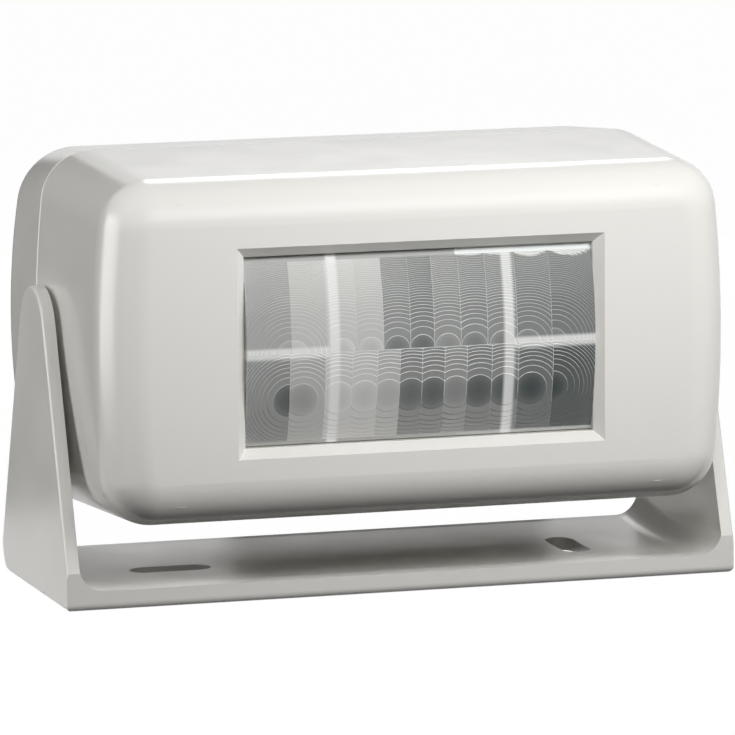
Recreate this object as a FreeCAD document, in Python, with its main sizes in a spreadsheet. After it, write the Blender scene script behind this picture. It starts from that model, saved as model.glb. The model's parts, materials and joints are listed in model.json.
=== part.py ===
import FreeCAD, Part
import math
import os
import Sketcher
from FreeCAD import Placement, Rotation, Vector

# Passive infrared motion sensor with a chime: a moulded head that tilts in a U-shaped stand.
# Frame: +X to the right, +Y to the back, +Z up. The lens looks along -Y.
# Origin: centre of the stand's underside. Lengths are in millimetres.

SIZES = [
    # stand
    ("stand_width", 116.0, "over the outer faces of the legs"),
    ("stand_depth", 43.8, "front to back"),
    ("leg_wall", 2.2, "thickness of each leg"),
    ("plate_height", 3.3, "base plate at its front and back rims"),
    ("dish_depth", 1.3, "hollow of the base plate's top, which clears the swinging head"),
    ("dish_rim", 2.4, "flat rim left in front of and behind the hollow"),
    ("pivot_height", 43.0, "tilt axis above the table"),
    ("leg_top_radius", 8.3, "round top of a leg, about the tilt axis"),
    ("leg_upright", 6.4, "height of a leg's upright foot, below the lean"),
    ("foot_radius_back", 5.0, "rounded lower back corner of a leg"),
    ("foot_radius_front", 1.3, "rounded lower front corner of a leg"),
    ("foot_radius_side", 1.0, "rounded outer lower edge"),
    ("dish_crest", 6.0, "soft crest between a rim and the hollow"),
    ("stand_fillet", 4.0, "inside corner between a leg and the base plate"),
    ("stand_edge", 0.5, "softened outer edge of a leg"),
    ("slot_width", 5.0, "screw slots in the base plate"),
    ("slot_length", 14.0, "screw slots in the base plate"),
    ("slot_left_x", -34.0, "middle of the crosswise slot"),
    ("slot_right_x", 36.5, "middle of the lengthwise slot"),
    ("slot_y", 2.0, "middle of both slots"),
    ("pin_radius", 3.0, "pivot stub on each leg"),
    ("pin_length", 4.2, "pivot stub, from the leg's inner face"),
    ("pin_clearance", 0.05, "running clearance on radius"),
    # head
    ("side_gap", 0.4, "between a leg and the head"),
    ("head_height", 59.6, "at the parting line, centred on the tilt axis"),
    ("front_reach", 32.6, "tilt axis to the front face"),
    ("rear_reach", 32.0, "tilt axis to the rear face"),
    ("seam_offset", 6.8, "parting line behind the tilt axis"),
    ("front_taper", 1.6, "how much smaller the front is all round, before its edge is rounded"),
    ("rear_taper", 1.9, "how much smaller the back is all round, before its edge is rounded"),
    ("side_bulge_radius", 210.0, "arc of the head's sides, seen from the front"),
    ("rear_side_taper", 0.3, "how much nearer the sides are at the rear face, at mid-height"),
    ("rear_bulge_radius", 110.0, "arc of the head's sides at the rear face"),
    ("corner_radius", 8.4, "head's corners, seen from the front"),
    ("rear_corner_radius", 11.0, "head's corners at the rear face, before its edge is rounded"),
    ("front_round", 7.5, "rounded edge round the front face"),
    ("rear_round", 7.5, "rounded edge round the rear face"),
    ("wall", 2.0, "moulded wall"),
    ("seam_bevel", 0.3, "bevel that makes the line between the two covers"),
    ("lip_length", 1.4, "tongue of the rear cover inside the front cover"),
    ("lip_clearance", 0.1, "round the tongue and at its end"),
    ("pivot_boss_radius", 5.2, "inside the head's side wall, round the pivot bore"),
    # window and lens
    ("window_side", 25.45, "head's side to the window's opening, on each side"),
    ("window_edge", 14.0, "head's top or bottom to the opening, before it drops"),
    ("window_drop", 0.05, "window's middle below the tilt axis"),
    ("window_bevel", 1.6, "sloping border round the window"),
    ("lens_clearance", 0.2, "lens to the sides of the window"),
    ("lens_sheet", 0.6, "lens moulding"),
    ("lens_rise", 2.8, "how far the lens bows forward at mid-height"),
    ("lens_flange", 2.6, "flat margin above and below the bowed sheet"),
    ("lens_seat", 0.8, "raised rim behind the window that the lens lies on"),
    ("seat_width", 3.4, "raised rim behind the window"),
    ("frame_depth", 4.0, "lens frame, front to back"),
    ("frame_rib", 1.5, "ribs behind the lens"),
    ("frame_rib_x", 15.0, "upright ribs, each side of the middle"),
    ("frame_ear", 1.6, "thickness of the lens frame's screw ears"),
    ("frame_bar", 4.2, "lens frame's own width, all round"),
    ("rib_clearance", 0.1, "between a rib and the bowed lens"),
    ("frame_screw_out", 6.5, "lens frame screws, outside the window's side"),
    ("frame_screw_in", 3.5, "lens frame screws, below the window's top and above its bottom"),
    # board
    ("board_side_room", 3.2, "printed circuit board to the housing posts"),
    ("board_top_room", 3.3, "printed circuit board to the wall above and below"),
    ("board_corner", 1.5, "printed circuit board's round corners"),
    ("board_thickness", 1.6, "printed circuit board"),
    ("board_front", 8.0, "board's front face ahead of the tilt axis"),
    ("board_screw_side", 3.5, "board screws, in from the board's side"),
    ("board_screw_edge", 2.5, "board screws, in from the board's top and bottom"),
    ("board_post_radius", 2.5, "posts that carry the board"),
    # housing screws
    ("housing_screw_side", 14.4, "housing screws, in from the head's side"),
    ("housing_screw_edge", 8.2, "housing screws, in from the head's top and bottom"),
    ("housing_post_radius", 3.3, "posts for the housing screws"),
    ("housing_head_seat", 5.0, "screw head's seat behind the parting line"),
    ("small_screw_radius", 1.0, "shank of the small screws"),
    ("small_head_radius", 2.0, "head of the small screws"),
    ("small_head_height", 1.3, "head of the small screws"),
    ("housing_shank_radius", 1.4, "shank of the housing screws"),
    ("housing_head_radius", 2.5, "head of the housing screws"),
    ("screw_clearance", 0.05, "round a screw's shank"),
    ("screw_passage", 0.2, "round a screw's shank in a piece that it passes through"),
    ("frame_screw_grip", 4.4, "shank of a lens frame screw"),
    ("board_screw_grip", 6.0, "shank of a board screw"),
    ("housing_screw_grip", 13.0, "shank of a housing screw"),
    ("speaker_screw_grip", 2.4, "shank of a speaker screw"),
    ("housing_head_height", 2.0, "head of the housing screws"),
    # heat sensor and the parts soldered to the board, placed from its middle
    ("sensor_spacer_radius", 4.4, "plastic spacer under the heat sensor"),
    ("sensor_spacer_height", 3.0, "plastic spacer under the heat sensor"),
    ("sensor_radius", 4.1, "heat sensor's can"),
    ("sensor_height", 4.2, "heat sensor's can"),
    ("sensor_brim", 0.5, "rim at the foot of the can, in height and in width"),
    ("sensor_window_x", 4.0, "opening in the can's top"),
    ("sensor_window_z", 3.0, "opening in the can's top"),
    ("sensor_window_deep", 0.25, "opening in the can's top"),
    ("chip_x", -19.0, "control chip"),
    ("chip_z", 11.0, "control chip"),
    ("chip_length", 20.32, "control chip"),
    ("chip_width", 6.4, "control chip"),
    ("chip_top", 4.0, "control chip's top above the board"),
    ("chip_stand", 0.6, "control chip's underside above the board"),
    ("chip_pitch", 2.54, "from leg to leg"),
    ("chip_leg", 0.8, "width of a leg"),
    ("blob_x", 20.0, "sound chip under its drop of resin, on the board's back"),
    ("blob_z", 4.0, "sound chip"),
    ("blob_curve", 14.0, "curve of the drop of resin"),
    ("blob_height", 1.6, "drop of resin"),
    ("can_x", 15.0, "first of the two small capacitors"),
    ("can_z", 13.0, "the two small capacitors"),
    ("can_pitch", 7.0, "between the two small capacitors"),
    ("can_radius", 2.5, "small capacitor"),
    ("can_height", 11.0, "small capacitor"),
    ("big_can_x", -24.0, "large capacitor"),
    ("big_can_z", -12.0, "large capacitor"),
    ("big_can_radius", 4.0, "large capacitor"),
    ("big_can_height", 11.5, "large capacitor"),
    ("resistor_x", 12.0, "first column of resistors"),
    ("resistor_pitch_x", 12.0, "to the second column"),
    ("resistor_z", -6.0, "top row of resistors"),
    ("resistor_pitch_z", 4.0, "from row to row"),
    ("resistor_radius", 1.15, "resistor"),
    ("resistor_length", 6.0, "resistor"),
    ("resistor_span", 8.6, "from lead to lead"),
    ("lead_radius", 0.3, "resistor's lead"),
    ("transistor_x", -8.0, "transistor"),
    ("transistor_z", -14.0, "transistor"),
    ("transistor_radius", 2.4, "transistor"),
    ("transistor_height", 4.6, "transistor"),
    ("transistor_legs", 3.0, "transistor's underside above the board"),
    # speaker
    ("speaker_share", 0.386, "speaker's radius, as a share of the room beside the battery bay"),
    ("speaker_shift", 1.55, "speaker's middle, from the room's middle towards the bay"),
    ("speaker_flange", 1.2, "speaker's flange"),
    ("speaker_depth", 8.0, "basket behind the flange"),
    ("magnet_share", 0.5, "speaker magnet, as a share of the speaker's radius"),
    ("magnet_height", 5.0, "speaker magnet"),
    ("grille_inset", 4.0, "field of slots in the rear cover, inside the speaker's rim"),
    ("grille_slot", 1.6, "width of a slot"),
    ("grille_pitch", 3.4, "from slot to slot"),
    ("speaker_screw_gap", 2.4, "screws round the speaker, outside its rim"),
    ("speaker_boss_radius", 2.2, "bosses for the speaker screws"),
    ("basket_sheet", 0.8, "speaker basket"),
    ("coil_radius", 5.0, "middle of the cone"),
    ("cone_sheet", 0.4, "speaker cone"),
    # batteries
    ("bay_margin", 9.25, "battery bay to the head's side wall"),
    ("cell_radius", 5.2, "AAA cell"),
    ("cell_length", 44.5, "AAA cell over its button"),
    ("cell_gap", 0.5, "between two cells"),
    ("contact_space", 2.6, "at each end of a cell"),
    ("bay_clearance", 0.4, "between a cell and the bay"),
    ("bay_wall", 1.2, "walls of the bay"),
    ("door_thickness", 1.8, "battery door"),
    ("door_overlap", 0.8, "door rests on the bay's walls by this much"),
    ("door_gap", 0.3, "round the battery door"),
    ("door_corner", 0.8, "battery door's corners"),
    ("door_bevel", 0.35, "battery door's outer edge"),
    ("clip_reach", 2.4, "battery door's clips inside the bay"),
    ("clip_thick", 0.9, "battery door's clips"),
    ("clip_width", 6.0, "battery door's clips"),
    ("clip_x", 14.0, "battery door's clips, each side of its middle"),
    ("clip_clearance", 0.3, "clip to the bay's wall"),
    ("thumb_from_end", 10.0, "thumb rest to the door's end"),
    ("thumb_curve", 24.0, "curve of the thumb rest"),
    ("thumb_deep", 0.9, "depth of the thumb rest"),
    ("nub_radius", 1.9, "button of a cell"),
    ("nub_height", 0.8, "button of a cell"),
    ("cell_edge", 0.5, "rounded ends of a cell"),
    ("contact_sheet", 0.4, "contacts"),
    # switch
    ("switch_x", 8.5, "slide switch in the underside of the rear cover"),
    ("switch_behind", 11.7, "slide switch behind the parting line"),
    ("switch_flank", 1.6, "switch case beyond its slot, at each end"),
    ("switch_side", 1.5, "switch case beyond the knob, at each side"),
    ("switch_height", 5.0, "switch case"),
    ("switch_well", 2.2, "depth of the switch's slot"),
    ("switch_travel", 4.0, "throw of the switch"),
    ("knob_width", 4.0, "switch knob along its travel"),
    ("knob_depth", 3.0, "switch knob across its travel"),
    ("knob_proud", 1.0, "switch knob below the cover"),
    ("knob_gap", 0.3, "round the switch knob"),
]

doc = FreeCAD.newDocument("MotionSensor")
sheet = doc.addObject("Spreadsheet::Sheet", "Sizes")
for row, (alias, value, note) in enumerate(SIZES, start=1):
    sheet.set("A%d" % row, alias)
    sheet.set("B%d" % row, str(value))
    sheet.set("C%d" % row, note)
    sheet.setAlias("B%d" % row, alias)
doc.recompute()
V = {alias: float(sheet.get(alias)) for alias, value, note in SIZES}

X_AXIS = Vector(1, 0, 0)
Y_AXIS = Vector(0, 1, 0)
Z_AXIS = Vector(0, 0, 1)


def worth(expression):
    """Present value of an expression on the sheet."""
    value = sheet.evalExpression(expression)
    return float(getattr(value, "Value", value))


def pair(expression):
    return (worth(expression), expression)


# Places and lengths that several pieces share. Y is counted from the tilt axis.
TILT_Z = "Sizes.pivot_height"
WINDOW_MID = "(Sizes.pivot_height - Sizes.window_drop)"
SIDE = "(Sizes.stand_width / 2 - Sizes.leg_wall - Sizes.side_gap)"
LENS_FRONT = "(-Sizes.front_reach + Sizes.wall + Sizes.lens_seat)"
LENS_BACK = "(%s + Sizes.lens_sheet)" % LENS_FRONT
FRAME_BACK = "(%s + Sizes.frame_depth)" % LENS_BACK
WINDOW_HALF_X = "(%s - Sizes.window_side)" % SIDE
WINDOW_HALF_Z = "(Sizes.head_height / 2 - Sizes.window_edge)"
LENS_HALF = "(%s - Sizes.lens_clearance)" % WINDOW_HALF_X
LENS_CHORD = "(%s - Sizes.lens_clearance)" % WINDOW_HALF_Z
LENS_RADIUS = "((%s^2 + Sizes.lens_rise^2) / (2 * Sizes.lens_rise))" % LENS_CHORD
LENS_CENTER = "(%s - Sizes.lens_rise + %s)" % (LENS_FRONT, LENS_RADIUS)
FRAME_SCREW_X = "(%s + Sizes.frame_screw_out)" % WINDOW_HALF_X
FRAME_SCREW_Z = "(%s - Sizes.frame_screw_in)" % WINDOW_HALF_Z
HOUSING_X = "(%s - Sizes.housing_screw_side)" % SIDE
HOUSING_Z = "(Sizes.head_height / 2 - Sizes.housing_screw_edge)"
HOUSING_SEAT = "(Sizes.seam_offset + Sizes.housing_head_seat)"
BOARD_HALF_X = "(%s - Sizes.housing_post_radius - Sizes.board_side_room)" % HOUSING_X
BOARD_HALF_Z = "(Sizes.head_height / 2 - Sizes.wall - Sizes.board_top_room)"
BOARD_SCREW_X = "(%s - Sizes.board_screw_side)" % BOARD_HALF_X
BOARD_SCREW_Z = "(%s - Sizes.board_screw_edge)" % BOARD_HALF_Z
BOARD_FACE = "(-Sizes.board_front)"
BOARD_BACK = "(-Sizes.board_front + Sizes.board_thickness)"
REAR_INNER = "(Sizes.rear_reach - Sizes.wall)"
SPEAKER_SEAT = "(%s - Sizes.speaker_flange)" % REAR_INNER
SPEAKER_SCREW_TURNS = (35, 140, 325)
DOOR_INNER = "(Sizes.rear_reach - Sizes.door_thickness)"
CELL_PITCH = "(2 * Sizes.cell_radius + Sizes.cell_gap)"
CELL_Y = "(%s - Sizes.bay_clearance - Sizes.cell_radius)" % DOOR_INNER
BAY_HALF_X = "(Sizes.cell_length / 2 + Sizes.contact_space)"
BAY_HALF_Z = "(3 * Sizes.cell_radius + Sizes.cell_gap + Sizes.bay_clearance)"
BAY_DEPTH = "(Sizes.door_thickness + Sizes.bay_clearance + 2 * Sizes.cell_radius + 0.1)"
BAY_X = "(-%s + Sizes.wall + Sizes.bay_margin + %s)" % (SIDE, BAY_HALF_X)
ROOM_LEFT = "(%s + %s + Sizes.bay_wall)" % (BAY_X, BAY_HALF_X)
ROOM_RIGHT = "(%s - Sizes.wall)" % SIDE
SPEAKER_RADIUS = "((%s - %s) * Sizes.speaker_share)" % (ROOM_RIGHT, ROOM_LEFT)
SPEAKER_X = "((%s + %s) / 2 - Sizes.speaker_shift)" % (ROOM_RIGHT, ROOM_LEFT)
SPEAKER_SCREW_CIRCLE = "(%s + Sizes.speaker_screw_gap)" % SPEAKER_RADIUS
MAGNET_RADIUS = "(%s * Sizes.magnet_share)" % SPEAKER_RADIUS
GRILLE_RADIUS = "(%s - Sizes.grille_inset)" % SPEAKER_RADIUS
SWITCH_Y = "(Sizes.seam_offset + Sizes.switch_behind)"
SWITCH_WELL_X = "(Sizes.knob_width / 2 + Sizes.switch_travel / 2 + Sizes.knob_gap)"
SWITCH_WELL_Y = "(Sizes.knob_depth / 2 + Sizes.knob_gap)"
SWITCH_HALF_Y = "(Sizes.knob_depth / 2 + Sizes.switch_side)"
# The switch rests on the inner face of the tapered underside, at its own back edge.
SWITCH_FLOOR = ("(Sizes.pivot_height - Sizes.head_height / 2 + Sizes.wall + 0.1 + Sizes.rear_taper"
                " * (Sizes.switch_behind + %s) / (%s - Sizes.seam_offset))" % (SWITCH_HALF_Y, REAR_INNER))

# Present values that the drawings of the covers start from.
PIVOT = worth(TILT_Z)
WINDOW_Z = worth(WINDOW_MID)
HEAD_HALF = worth(SIDE)

FORWARD = Rotation(Z_AXIS, -Y_AXIS)
BACKWARD = Rotation(Z_AXIS, Y_AXIS)
SIDEWAYS = Rotation(Z_AXIS, X_AXIS)
HALF_TURN = Rotation(Y_AXIS, 180)


def origin_plane(body, role):
    return [o for o in body.Origin.OriginFeatures if o.Role == role][0]


def new_body(label):
    return doc.addObject("PartDesign::Body", label)


def new_sketch(body, name, role, height=None):
    """A sketch on one of the body's own planes, moved along the plane's normal by height."""
    sketch = body.newObject("Sketcher::SketchObject", name)
    sketch.AttachmentSupport = (origin_plane(body, role), [""])
    sketch.MapMode = "FlatFace"
    if height is not None:
        if isinstance(height, str):
            sketch.setExpression("AttachmentOffset.Base.z", height)
        else:
            sketch.AttachmentOffset = Placement(Vector(0, 0, height), Rotation())
    return sketch


def feature(body, kind, name, **values):
    """A PartDesign feature whose text values are expressions on the sheet."""
    item = body.newObject("PartDesign::" + kind, name)
    for key, value in values.items():
        if isinstance(value, str) and "Sizes." in value:
            item.setExpression(key, value)
        else:
            setattr(item, key, value)
    return item


def bind(sketch, kind, args, value, name, expression):
    index = sketch.addConstraint(Sketcher.Constraint(kind, *args, value))
    sketch.renameConstraint(index, name)
    sketch.setExpression("Constraints." + name, expression)


def draw_rectangle(sketch, tag, left, right, low, high):
    """Each side is a pair: its value now, and the expression that drives it."""
    corners = [Vector(left[0], low[0], 0), Vector(right[0], low[0], 0),
               Vector(right[0], high[0], 0), Vector(left[0], high[0], 0)]
    first = sketch.GeometryCount
    for k in range(4):
        sketch.addGeometry(Part.LineSegment(corners[k], corners[(k + 1) % 4]), False)
    for k in range(4):
        sketch.addConstraint(Sketcher.Constraint("Coincident", first + k, 2, first + (k + 1) % 4, 1))
    for k in (0, 2):
        sketch.addConstraint(Sketcher.Constraint("Horizontal", first + k))
        sketch.addConstraint(Sketcher.Constraint("Vertical", first + k + 1))
    bind(sketch, "DistanceX", (-1, 1, first, 1), left[0], tag + "Left", left[1])
    bind(sketch, "DistanceX", (-1, 1, first, 2), right[0], tag + "Right", right[1])
    bind(sketch, "DistanceY", (-1, 1, first, 1), low[0], tag + "Low", low[1])
    bind(sketch, "DistanceY", (-1, 1, first + 2, 1), high[0], tag + "High", high[1])


def draw_circle(sketch, tag, x, y, radius):
    index = sketch.addGeometry(Part.Circle(Vector(x[0], y[0], 0), Z_AXIS, radius[0]), False)
    bind(sketch, "DistanceX", (-1, 1, index, 3), x[0], tag + "X", x[1])
    bind(sketch, "DistanceY", (-1, 1, index, 3), y[0], tag + "Y", y[1])
    bind(sketch, "Radius", (index,), radius[0], tag + "Radius", radius[1])


def draw_slot(sketch, tag, x, y, length, width, along_x=True):
    """Round-ended slot, from its overall length and its width."""
    reach = (length[0] - width[0]) / 2
    radius = width[0] / 2
    along = Vector(1, 0, 0) if along_x else Vector(0, 1, 0)
    across = Vector(0, 1, 0) if along_x else Vector(-1, 0, 0)
    middle = Vector(x[0], y[0], 0)
    turn = 0 if along_x else math.pi / 2
    first = sketch.GeometryCount
    ends = [middle + along * reach, middle - along * reach]
    sketch.addGeometry(Part.ArcOfCircle(Part.Circle(ends[0], Z_AXIS, radius),
                                        turn - math.pi / 2, turn + math.pi / 2), False)
    sketch.addGeometry(Part.LineSegment(ends[0] + across * radius, ends[1] + across * radius), False)
    sketch.addGeometry(Part.ArcOfCircle(Part.Circle(ends[1], Z_AXIS, radius),
                                        turn + math.pi / 2, turn + 3 * math.pi / 2), False)
    sketch.addGeometry(Part.LineSegment(ends[1] - across * radius, ends[0] - across * radius), False)
    joints = [(first, 2, first + 1, 1), (first + 1, 2, first + 2, 1),
              (first + 2, 2, first + 3, 1), (first + 3, 2, first, 1)]
    for joint in joints:
        sketch.addConstraint(Sketcher.Constraint("Tangent", *joint))
    sketch.addConstraint(Sketcher.Constraint("Horizontal" if along_x else "Vertical", first + 1))
    bind(sketch, "Radius", (first,), radius, tag + "Radius", "(%s) / 2" % width[1])
    half = "((%s) - (%s)) / 2" % (length[1], width[1])
    main, cross = ("DistanceX", "DistanceY") if along_x else ("DistanceY", "DistanceX")
    place, other = (x, y) if along_x else (y, x)
    bind(sketch, main, (-1, 1, first, 3), place[0] + reach, tag + "Far", "(%s) + %s" % (place[1], half))
    bind(sketch, main, (-1, 1, first + 2, 3), place[0] - reach, tag + "Near",
         "(%s) - %s" % (place[1], half))
    bind(sketch, cross, (-1, 1, first, 3), other[0], tag + "Across", other[1])


def draw_head_outline(sketch, tag, inset, radius, side=None, bow="side_bulge_radius"):
    """The head seen from the front, taken in all round by inset: straight top and bottom,
    bowed sides and four round corners. inset and radius are pairs of value and expression.
    side is the sides' own inset, where it differs, and bow names the radius of their arc."""
    corner = radius[0]
    side = side or inset
    half_height = V["head_height"] / 2 - inset[0]
    bulge = V[bow] - side[0]
    side_x = HEAD_HALF - V[bow]
    rise = half_height - corner
    corner_x = side_x + math.sqrt((bulge - corner) ** 2 - rise ** 2)
    turn = math.asin(rise / (bulge - corner))
    quarter = math.pi / 2
    top = PIVOT + half_height
    low = PIVOT - half_height
    first = sketch.GeometryCount

    def arc(x, y, r, start, end):
        sketch.addGeometry(Part.ArcOfCircle(Part.Circle(Vector(x, y, 0), Z_AXIS, r), start, end), False)

    sketch.addGeometry(Part.LineSegment(Vector(-corner_x, top, 0), Vector(corner_x, top, 0)), False)
    arc(corner_x, top - corner, corner, turn, quarter)
    arc(side_x, PIVOT, bulge, -turn, turn)
    arc(corner_x, low + corner, corner, -quarter, -turn)
    sketch.addGeometry(Part.LineSegment(Vector(corner_x, low, 0), Vector(-corner_x, low, 0)), False)
    arc(-corner_x, low + corner, corner, math.pi + turn, 3 * quarter)
    arc(-side_x, PIVOT, bulge, math.pi - turn, math.pi + turn)
    arc(-corner_x, top - corner, corner, quarter, math.pi - turn)
    ends = [(0, 2, 1, 2), (1, 1, 2, 2), (2, 1, 3, 2), (3, 1, 4, 1),
            (4, 2, 5, 2), (5, 1, 6, 2), (6, 1, 7, 2), (7, 1, 0, 1)]
    for one, end_one, two, end_two in ends:
        sketch.addConstraint(Sketcher.Constraint("Tangent", first + one, end_one, first + two, end_two))
    for line in (0, 4):
        sketch.addConstraint(Sketcher.Constraint("Horizontal", first + line))
    for other in (3, 5, 7):
        sketch.addConstraint(Sketcher.Constraint("Equal", first + 1, first + other))
    sketch.addConstraint(Sketcher.Constraint("Equal", first + 2, first + 6))
    bind(sketch, "Radius", (first + 1,), corner, tag + "Corner", radius[1])
    bind(sketch, "Radius", (first + 2,), bulge, tag + "Bulge",
         "Sizes.%s - (%s)" % (bow, side[1]))
    middle = "Sizes.stand_width / 2 - Sizes.leg_wall - Sizes.side_gap - Sizes." + bow
    bind(sketch, "DistanceX", (-1, 1, first + 2, 3), side_x, tag + "Right", middle)
    bind(sketch, "DistanceX", (-1, 1, first + 6, 3), -side_x, tag + "Left", "-(%s)" % middle)
    bind(sketch, "DistanceY", (-1, 1, first + 2, 3), PIVOT, tag + "RightZ", "Sizes.pivot_height")
    bind(sketch, "DistanceY", (-1, 1, first + 6, 3), PIVOT, tag + "LeftZ", "Sizes.pivot_height")
    half = "Sizes.head_height / 2 - (%s)" % inset[1]
    bind(sketch, "DistanceY", (-1, 1, first, 1), top, tag + "Top", "Sizes.pivot_height + " + half)
    bind(sketch, "DistanceY", (-1, 1, first + 4, 1), low, tag + "Bottom",
         "Sizes.pivot_height - (%s)" % half)


def edges_on(shape, test):
    """Names of the edges whose every corner and middle pass the test."""
    names = []
    for index, edge in enumerate(shape.Edges, start=1):
        middle = edge.valueAt((edge.FirstParameter + edge.LastParameter) / 2)
        if all(test(p) for p in [v.Point for v in edge.Vertexes] + [middle]):
            names.append("Edge%d" % index)
    return names


def near(value, target, slack=0.01):
    return abs(value - target) < slack


def signed(pair, sign):
    return (sign * pair[0], "%d * (%s)" % (sign, pair[1]))


def offset_z(pair, sign=1, base="Sizes.pivot_height"):
    """A height above or below the tilt axis, as a height above the table."""
    return (PIVOT + sign * pair[0], "%s + %d * (%s)" % (base, sign, pair[1]))


def size(name):
    return (V[name], "Sizes." + name)


def fixed(value):
    return (value, "%.6g" % value)


def four_posts(body, name, x, z, radius, base_y, length, cut=False, z_base="Sizes.pivot_height",
               z_value=None, toward_back=True):
    """Four round pads or holes at (+-x, +-z), from base_y along Y."""
    z_value = PIVOT if z_value is None else z_value
    sketch = new_sketch(body, name + "Sketch", "XZ_Plane", "-(%s)" % base_y[1])
    for k, (sx, sz) in enumerate([(1, 1), (-1, 1), (-1, -1), (1, -1)]):
        draw_circle(sketch, "Post%d" % k, signed(x, sx),
                    (z_value + sz * z[0], "%s + %d * (%s)" % (z_base, sz, z[1])), radius)
    kind = "Pocket" if cut else "Pad"
    # A pad runs along the plane's normal, which is -Y; a pocket runs against it.
    reverse = toward_back != cut
    return feature(body, kind, name, Profile=sketch, Length=length, Reversed=reverse)


# Stand: base plate, two legs and their pivot stubs.

def build_stand():
    body = new_body("stand_bracket")
    half = (V["stand_width"] / 2, "Sizes.stand_width / 2")
    inner = (half[0] - V["leg_wall"], "Sizes.stand_width / 2 - Sizes.leg_wall")
    tall = (PIVOT + V["leg_top_radius"] + 1, "Sizes.pivot_height + Sizes.leg_top_radius + 1")
    depth = (V["stand_depth"] / 2, "Sizes.stand_depth / 2")

    outer = new_sketch(body, "BlockSketch", "XZ_Plane")
    draw_rectangle(outer, "Block", signed(half, -1), half, fixed(0), tall)
    blank = feature(body, "Pad", "Block", Profile=outer, Length="Sizes.stand_depth",
                    SideType="Symmetric")

    gap = new_sketch(body, "GapSketch", "XZ_Plane")
    above = (tall[0] + 5, tall[1] + " + 5")
    draw_rectangle(gap, "Gap", signed(inner, -1), inner, size("plate_height"), above)
    between = feature(body, "Pocket", "Gap", Profile=gap, Length="Sizes.stand_depth + 10",
                      SideType="Symmetric")

    # Hollow top of the base plate: a shallow arc across the plate, from leg to leg.
    dish = new_sketch(body, "DishSketch", "YZ_Plane")
    draw_dish(dish)
    hollow = feature(body, "Pocket", "Dish", Profile=dish, SideType="Symmetric",
                     Length="Sizes.stand_width - 2 * Sizes.leg_wall")
    doc.recompute()
    crests = edges_on(hollow.Shape, lambda p: near(p.z, V["plate_height"])
                      and near(abs(p.y), depth[0] - V["dish_rim"]))
    hollow = feature(body, "Fillet", "DishCrests", Base=(hollow, crests), Radius="Sizes.dish_crest")
    doc.recompute()

    # Inside corners between legs and plate, and the outer lower edges.
    inside = edges_on(hollow.Shape, lambda p: p.z < V["plate_height"] + 0.01 and p.z > 0.5
                      and near(abs(p.x), inner[0]))
    corners = feature(body, "Fillet", "InsideCorners", Base=(hollow, inside),
                      Radius="Sizes.stand_fillet")
    doc.recompute()
    lower = edges_on(corners.Shape, lambda p: near(p.z, 0) and near(abs(p.x), half[0]))
    feet = feature(body, "Fillet", "SideFeet", Base=(corners, lower), Radius="Sizes.foot_radius_side")

    # The leg seen from the side: upright foot, leaning edges tangent to the round top.
    side = new_sketch(body, "LegSketch", "YZ_Plane")
    draw_leg_outline(side, depth, tall)
    legs = feature(body, "Pocket", "LegOutline", Profile=side, Length="Sizes.stand_width + 10",
                   SideType="Symmetric")

    slots = new_sketch(body, "SlotSketch", "XY_Plane")
    draw_slot(slots, "Left", size("slot_left_x"), size("slot_y"), size("slot_length"), size("slot_width"))
    draw_slot(slots, "Right", size("slot_right_x"), size("slot_y"), size("slot_length"),
              size("slot_width"), along_x=False)
    feature(body, "Pocket", "ScrewSlots", Profile=slots, Length="Sizes.plate_height + 1",
            Reversed=True)

    # Pivot stubs on the inner faces of the legs.
    pin = new_sketch(body, "PinSketch", "YZ_Plane", "Sizes.stand_width / 2 - Sizes.leg_wall")
    draw_circle(pin, "Pin", fixed(0), size("pivot_height"), size("pin_radius"))
    stub = feature(body, "Pad", "PivotStub", Profile=pin, Length="Sizes.pin_length", Reversed=True)
    mirror = feature(body, "Mirrored", "PivotStubs", Originals=[stub],
                     MirrorPlane=(origin_plane(body, "YZ_Plane"), [""]))
    body.Tip = mirror
    doc.recompute()

    # Outer edges of the legs are softened all round.
    rim = edges_on(mirror.Shape, lambda p: near(abs(p.x), half[0]) and p.z > V["leg_upright"] - 1.0)
    soft = feature(body, "Fillet", "LegEdges", Base=(mirror, rim), Radius="Sizes.stand_edge")
    body.Tip = soft
    return body


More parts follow.
